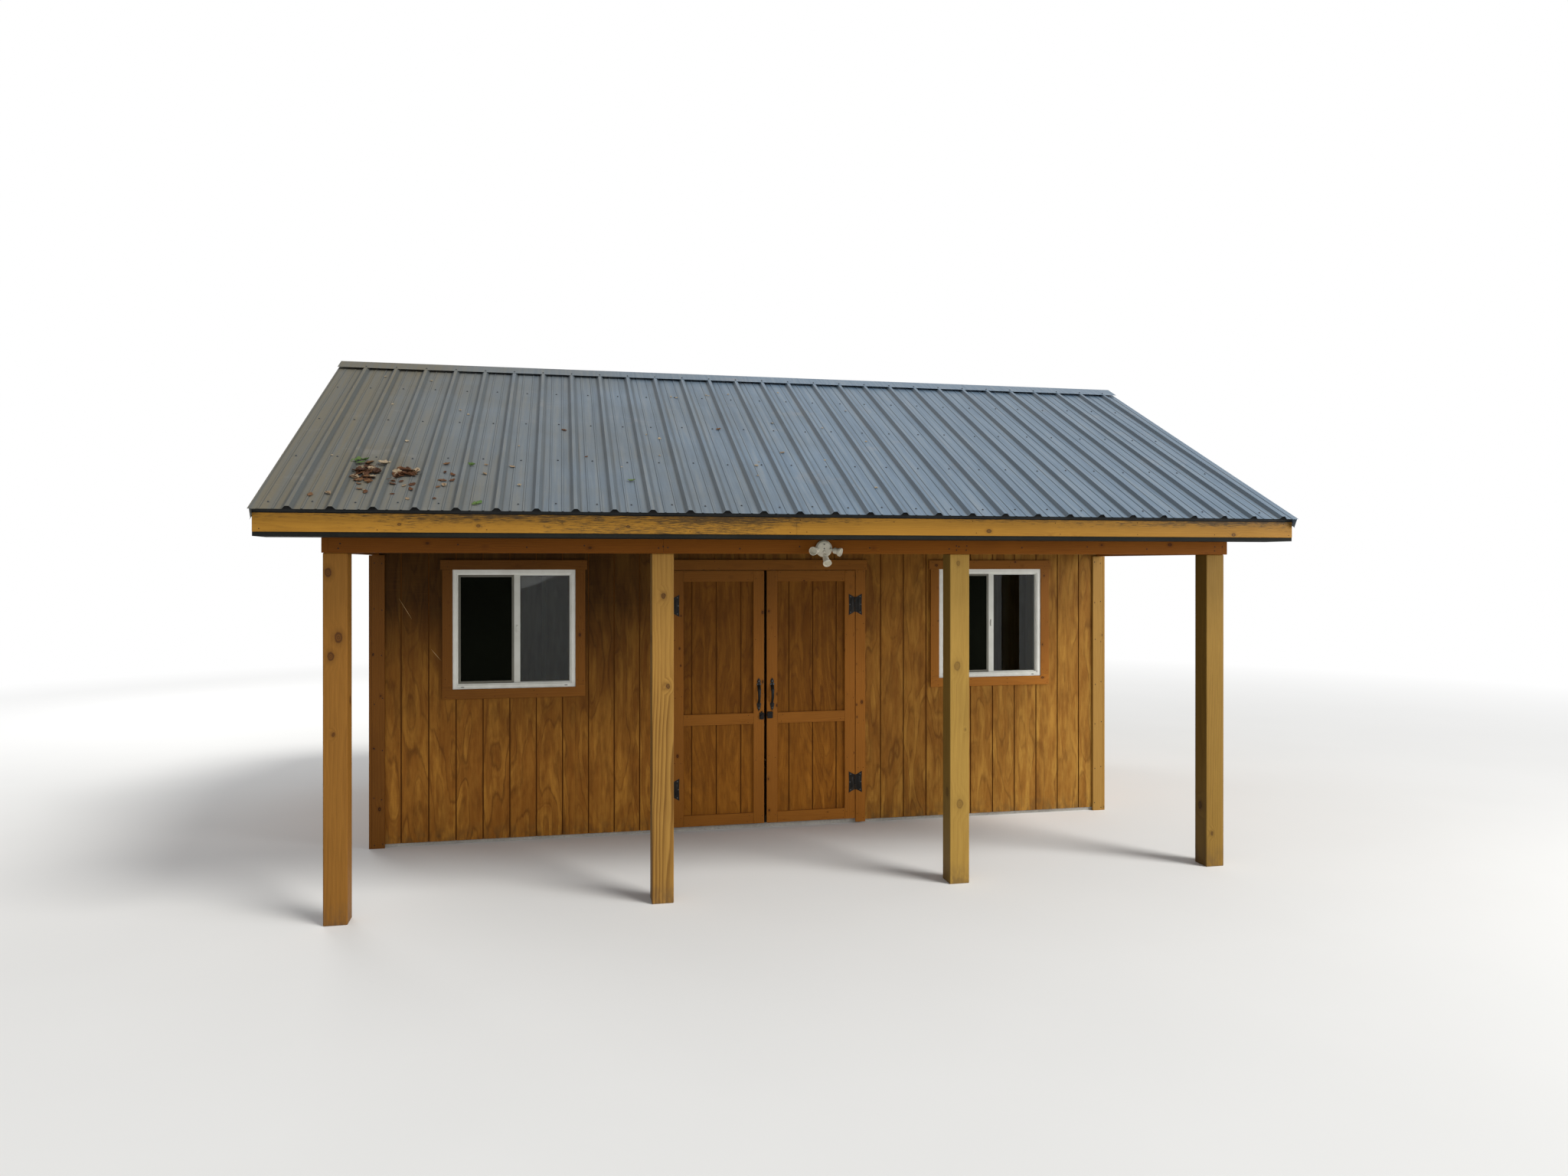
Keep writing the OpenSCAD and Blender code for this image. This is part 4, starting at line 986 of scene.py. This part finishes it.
def board_nails(piece, low, high, spacing, profile):
    """Pairs of nails along a board, on the wide face that looks away from the building."""
    size = high - low
    thin, short, long = sorted(range(3), key=lambda a: size[a])
    side = 1 if low[thin] + high[thin] > 0 else -1
    way = Vector([side if a == thin else 0 for a in range(3)])
    count = max(2, round(size[long] / spacing) + 1)
    for k in range(count):
        run = low[long] + NAIL_END + (size[long] - 2 * NAIL_END) * k / (count - 1)
        for edge in (low[short] + NAIL_EDGE, high[short] - NAIL_EDGE):
            if chance.random() < NAILS_MISSING:
                continue
            at = Vector((0, 0, 0))
            at[thin] = high[thin] if side > 0 else low[thin]
            at[long] = run + draw(-0.03, 0.03)
            at[short] = edge + draw(-0.005, 0.005)
            nail(piece, at, way, profile)


def trim_nails(node_name, spacing, body="building", slot="trim_wood", board_h=None, top_lap=0.0,
               bare=False):
    """Boards of height board_h, if one is given, are covered or cut out along their top."""
    piece = Piece(node_name + "_nails", "nail" if bare else "stained_nail", slot, body)
    for _, low, high in find_boards(node_name):
        if board_h and abs(high.z - low.z - board_h) < 0.001:
            high = high - Vector((0, 0, top_lap))
        board_nails(piece, low, high, spacing, NAIL if bare else SMALL_NAIL)
    piece.done()


# The beam is nailed in clusters over the posts and singly along its length
BEAM_NAILS = ((-2.263, 0.052), (-1.852, 0.036), (-1.5, 0.048), (-1.034, 0.034), (-1.005, 0.044),
              (-0.975, 0.037), (-0.508, 0.032), (-0.11, 0.047), (0.37, 0.040), (0.93, 0.035),
              (1.00, 0.050), (1.46, 0.044), (1.95, 0.052), (2.41, 0.038))
BEAM_JOINT_X = -1.005


def beam_nails():
    piece = Piece("beam_nails", "nail", "beam_wood")
    low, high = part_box("front_beam")
    for _, post_low, post_high in find_boards("porch_posts"):
        middle = (post_low.x + post_high.x) / 2
        for dx in (-0.033, 0.030):
            for z in (0.026, 0.055):
                x = middle + dx + draw(-0.006, 0.006)
                if low.x < x < high.x and abs(x - BEAM_JOINT_X) > 0.06:
                    nail(piece, Vector((x, beam_y, low.z + z)))
    for x, z in BEAM_NAILS:
        nail(piece, Vector((x, beam_y, low.z + z)))
    piece.done()


# Hinge screws: three in each plate, round the stamped ridge. Height and distance from the pin
HINGE_SCREWS = ((-0.066, 0.041), (0.0, 0.048), (0.066, 0.041))
PLATE_T = 0.003
PLATE_H = 0.15
PAN_HEAD = [(0.0048, 0.0), (0.0048, 0.0008), (0.0030, 0.0018), (0, 0.0020)]


def nearest_pin(x):
    return min(pin_xs, key=lambda pin: abs(pin - x))


def hinge_screws():
    for node_name, body in (("frame_hinge_leaves", "building"), ("left_door_hinges", "left_door"),
                            ("right_door_hinges", "right_door")):
        piece = Piece(node_name + "_screws", "screw", "black_iron", body)
        for _, low, high in find_boards(node_name):
            if high.z - low.z < PLATE_H:
                continue
            pin = nearest_pin((low.x + high.x) / 2)
            out = 1 if abs(high.x - pin) > abs(low.x - pin) else -1
            for dz, reach in HINGE_SCREWS:
                at = Vector((pin + out * reach, trim_y - PLATE_T, (low.z + high.z) / 2 + dz))
                piece.turned(PAN_HEAD, at)
        piece.done()


# Pull screws on the cast plates
def pull_screws():
    for side in ("left", "right"):
        low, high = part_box(side + "_door_pull")
        x = (low.x + high.x) / 2
        piece = Piece(side + "_pull_screws", "screw", "black_iron", side + "_door")
        for dx, z, out in ((0, high.z - 0.028, 0.0058), (0, low.z + 0.026, 0.0058),
                           (-0.012, high.z - 0.053, 0.0042), (0.012, high.z - 0.053, 0.0042)):
            piece.turned(PAN_HEAD, Vector((x + dx, trim_y - out, z)))
        piece.done()


# Window fittings: gaskets, weep slots and the catch on the meeting rail
def strip_loop(piece, low, high, out_y, width, depth):
    x0, x1, z0, z1 = low.x, high.x, low.z, high.z
    for a0, a1, b0, b1 in ((x0, x1, z0, z0 + width), (x0, x1, z1 - width, z1),
                           (x0, x0 + width, z0 + width, z1 - width),
                           (x1 - width, x1, z0 + width, z1 - width)):
        piece.slab([(a0, b0), (a1, b0), (a1, b1), (a0, b1)], depth, outward(0, out_y, 0))


CATCH = [(-0.006, -0.03), (0.006, -0.03), (0.008, 0.0), (0.006, 0.03), (-0.006, 0.03),
         (-0.008, 0.0)]


def window_fittings():
    gasket = Piece("window_gaskets", "gasket", "white_vinyl")
    weeps = Piece("window_weep_slots", "gasket", "white_vinyl")
    catch = Piece("window_catches", "sash", "white_vinyl")
    for _, low, high in find_boards("window_glass"):
        strip_loop(gasket, low, high, low.y, 0.004, 0.0015)
    for _, low, high in find_boards("window_frames"):
        for x in (low.x + 0.075, high.x - 0.075):
            weeps.slab(oval(0.014, 0.003), 0.0006, outward(x, low.y, low.z + 0.016), inset=0.2)
        rail_x = (low.x + high.x) / 2 + 0.0175
        catch.slab(CATCH, 0.009, outward(rail_x, low.y + 0.022, (low.z + high.z) / 2), inset=0.3)
    gasket.done(smooth=False)
    weeps.done()
    catch.done()


# Screws and a boss on the porch light's plate
LIGHT_X = 0.052
LIGHT_PLATE_T = 0.0198
BOSS = [(0.0085, 0.0), (0.0085, 0.005), (0.0065, 0.0075), (0, 0.008)]


def light_fittings():
    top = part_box("porch_light")[1].z
    plate_y = beam_y - LIGHT_PLATE_T
    piece = Piece("porch_light_screws", "screw", "light_enamel")
    for z in (top - 0.056, top - 0.028):
        piece.turned(PAN_HEAD, Vector((LIGHT_X, plate_y, z)), sides=12)
    piece.done()
    boss = Piece("porch_light_boss", "enamel", "light_enamel")
    boss.turned(BOSS, Vector((LIGHT_X, plate_y, top - 0.078)), sides=16)
    boss.done()


# Two pale splinters stand out of the siding left of the window
SPLINTERS = (((-2.867, 1.918), (-2.771, 1.757)), ((-2.630, 1.523), (-2.556, 1.433)))


def siding_splinters():
    piece = Piece("siding_splinters", "splinter", "siding_wood")
    steps = 8
    for start, end in SPLINTERS:
        a, b = Vector(start), Vector(end)
        across = (b - a).orthogonal().normalized() * 0.0018
        points = [a + (b - a) * k / steps for k in range(steps + 1)]
        swell = [math.sin(math.pi * (k + 0.4) / (steps + 0.8)) for k in range(steps + 1)]
        edge = [p + across * w for p, w in zip(points, swell)]
        edge += [p - across * w * 0.7 for p, w in reversed(list(zip(points, swell)))]
        piece.slab(edge, 0.0022, outward(0, wall_y, 0), inset=0.15)
    piece.done()


# Leaf litter: curled leaves with a fold down the middle, a few green ones and twigs
class Litter(Piece):
    def __init__(self):
        super().__init__("roof_leaf_litter", "litter", "roof_metal")
        self.tone = self.mesh.verts.layers.float.new("tone")

    def ribbon(self, rows, tone):
        made = []
        for row in rows:
            made.append([self.mesh.verts.new(p) for p in row])
            for vert in made[-1]:
                vert[self.tone] = tone
        for a, b in zip(made, made[1:]):
            for k in range(len(a) - 1):
                self.mesh.faces.new((a[k], a[k + 1], b[k + 1], b[k]))

    def leaf(self, x, s, lift, length, tone, broad=0.27, lean=0.25):
        matrix = placed(roof_point(-1, x, s, SHEET_TOP + lift), roof_normal(-1))
        matrix = matrix @ Matrix.Rotation(draw(0, 6.28), 4, "Z")
        matrix = matrix @ Matrix.Rotation(draw(-lean, lean), 4, "X")
        curl = draw(0.05, 0.45)
        fold = draw(0.1, 0.7)
        steps = 8
        rows = []
        for k in range(steps + 1):
            u = k / steps
            half = broad * length * math.sin(math.pi * u) ** 0.7
            half = half * (1 + 0.22 * math.sin(5 * math.pi * u)) + 0.0006
            rise = 0.003 + curl * length * (2 * u - 1) ** 2 * 0.5
            rows.append([matrix @ Vector(((u - 0.5) * length, half * v,
                                          rise + abs(v) * half * fold))
                         for v in (-1, -0.5, 0, 0.5, 1)])
        self.ribbon(rows, tone)

    def twig(self, x0, s0, x1, s1, width, tone=0.3):
        steps = 9
        rows = []
        for k in range(steps + 1):
            u = k / steps
            bend = 0.012 * math.sin(math.pi * u * 1.6)
            x, s = x0 + (x1 - x0) * u + bend, s0 + (s1 - s0) * u + bend
            half = width * (1 - 0.6 * u) / 2
            lift = SHEET_TOP + 0.010 + 0.008 * math.sin(math.pi * u)
            rows.append([roof_point(-1, x, s + half * v, lift + half * (1 - abs(v)))
                         for v in (-1, 0, 1)])
        self.ribbon(rows, tone)


def clear_of_ribs(x):
    away = abs((x - FIRST_RIB_X + RIB_PITCH / 2) % RIB_PITCH - RIB_PITCH / 2)
    return away > 0.05 and x > sheet_low.x + 0.05


# Across, down the slope, the reach of both, and the number of leaves
HEAPS = ((-2.815, 2.315, 0.052, 0.050, 60), (-2.585, 2.325, 0.055, 0.034, 52))
DRIFTS = ((-2.74, 2.47, 0.16, 0.05, 14), (-2.50, 2.43, 0.35, 0.12, 18),
          (-2.75, 2.68, 0.45, 0.10, 12), (-2.1, 2.45, 0.7, 0.35, 14), (-0.7, 1.7, 1.6, 0.8, 12))
LOWEST_LEAF = 2.82
GREEN_LEAVES = ((-0.03, 0), (0.01, 0.02), (0.03, -0.025), (-0.01, -0.04))
LOOSE_LEAVES = ((-2.205, 2.17), (-1.20, 2.40), (-2.12, 2.78), (-2.14, 2.80))
PETALS = 42


def leaf_litter():
    piece = Litter()
    for x, s, dx, ds, count in HEAPS:
        for _ in range(count):
            away_x, away_s = chance.gauss(0, 1), chance.gauss(0, 1)
            px, ps = x + away_x * dx, s + away_s * ds
            if clear_of_ribs(px):
                middle = max(0.0, 1 - 0.4 * math.hypot(away_x, away_s))
                piece.leaf(px, ps, draw(0, 0.022) * middle, draw(0.03, 0.07),
                           chance.choice((0.0, 0.1, 0.2, 0.3, 0.35, 0.5, 0.75)), lean=0.6)
    for x, s, dx, ds, count in DRIFTS:
        for _ in range(count):
            px, ps = x + draw(-dx, dx), min(s + draw(-ds, ds), LOWEST_LEAF)
            if clear_of_ribs(px):
                piece.leaf(px, ps, 0, draw(0.025, 0.055), chance.choice((0.15, 0.35, 0.5, 0.7)))
    for dx, ds in GREEN_LEAVES:
        piece.leaf(-2.885 + dx, 2.165 + ds, 0.008, 0.06, draw(0.86, 1.0), lean=0.5)
    piece.leaf(-2.735, 2.19, 0.004, 0.085, 0.78, broad=0.32, lean=0.1)
    for x, s in LOOSE_LEAVES:
        piece.leaf(x, s, 0.002, 0.05, draw(0.84, 0.95), lean=0.4)
    for _ in range(PETALS):
        px, ps = draw(-3.1, 0.9), draw(0.3, 2.6)
        if clear_of_ribs(px):
            piece.leaf(px, ps, 0, draw(0.012, 0.030), 0.8, broad=0.4)
    piece.twig(-2.905, 2.42, -2.735, 2.21, 0.007)
    piece.twig(-2.70, 2.46, -2.62, 2.40, 0.005)
    made = piece.done()
    made.modifiers.new("thickness", "SOLIDIFY").thickness = 0.0007


# The order of these calls is also the order of the random draws
def make_details():
    roof_screws()
    edge_ribs()
    siding_laps()
    cap_screws()
    rib_closures()
    trim_nails("corner_boards", 0.36, bare=True)
    trim_nails("door_casing", 0.45)
    trim_nails("window_trim", 0.38, board_h=SILL_H, top_lap=0.018)
    trim_nails("left_door_trim", 0.55, body="left_door")
    trim_nails("right_door_trim", 0.55, body="right_door")
    trim_nails("fascia_boards", 0.61, slot="fascia_wood", board_h=FASCIA_H, top_lap=0.032)
    beam_nails()
    hinge_screws()
    pull_screws()
    window_fittings()
    light_fittings()
    siding_splinters()
    leaf_litter()


dress_nodes()
make_details()
make_floor()
make_camera()
make_world()
make_lamps()
bpy.context.scene.view_settings.view_transform = "Standard"
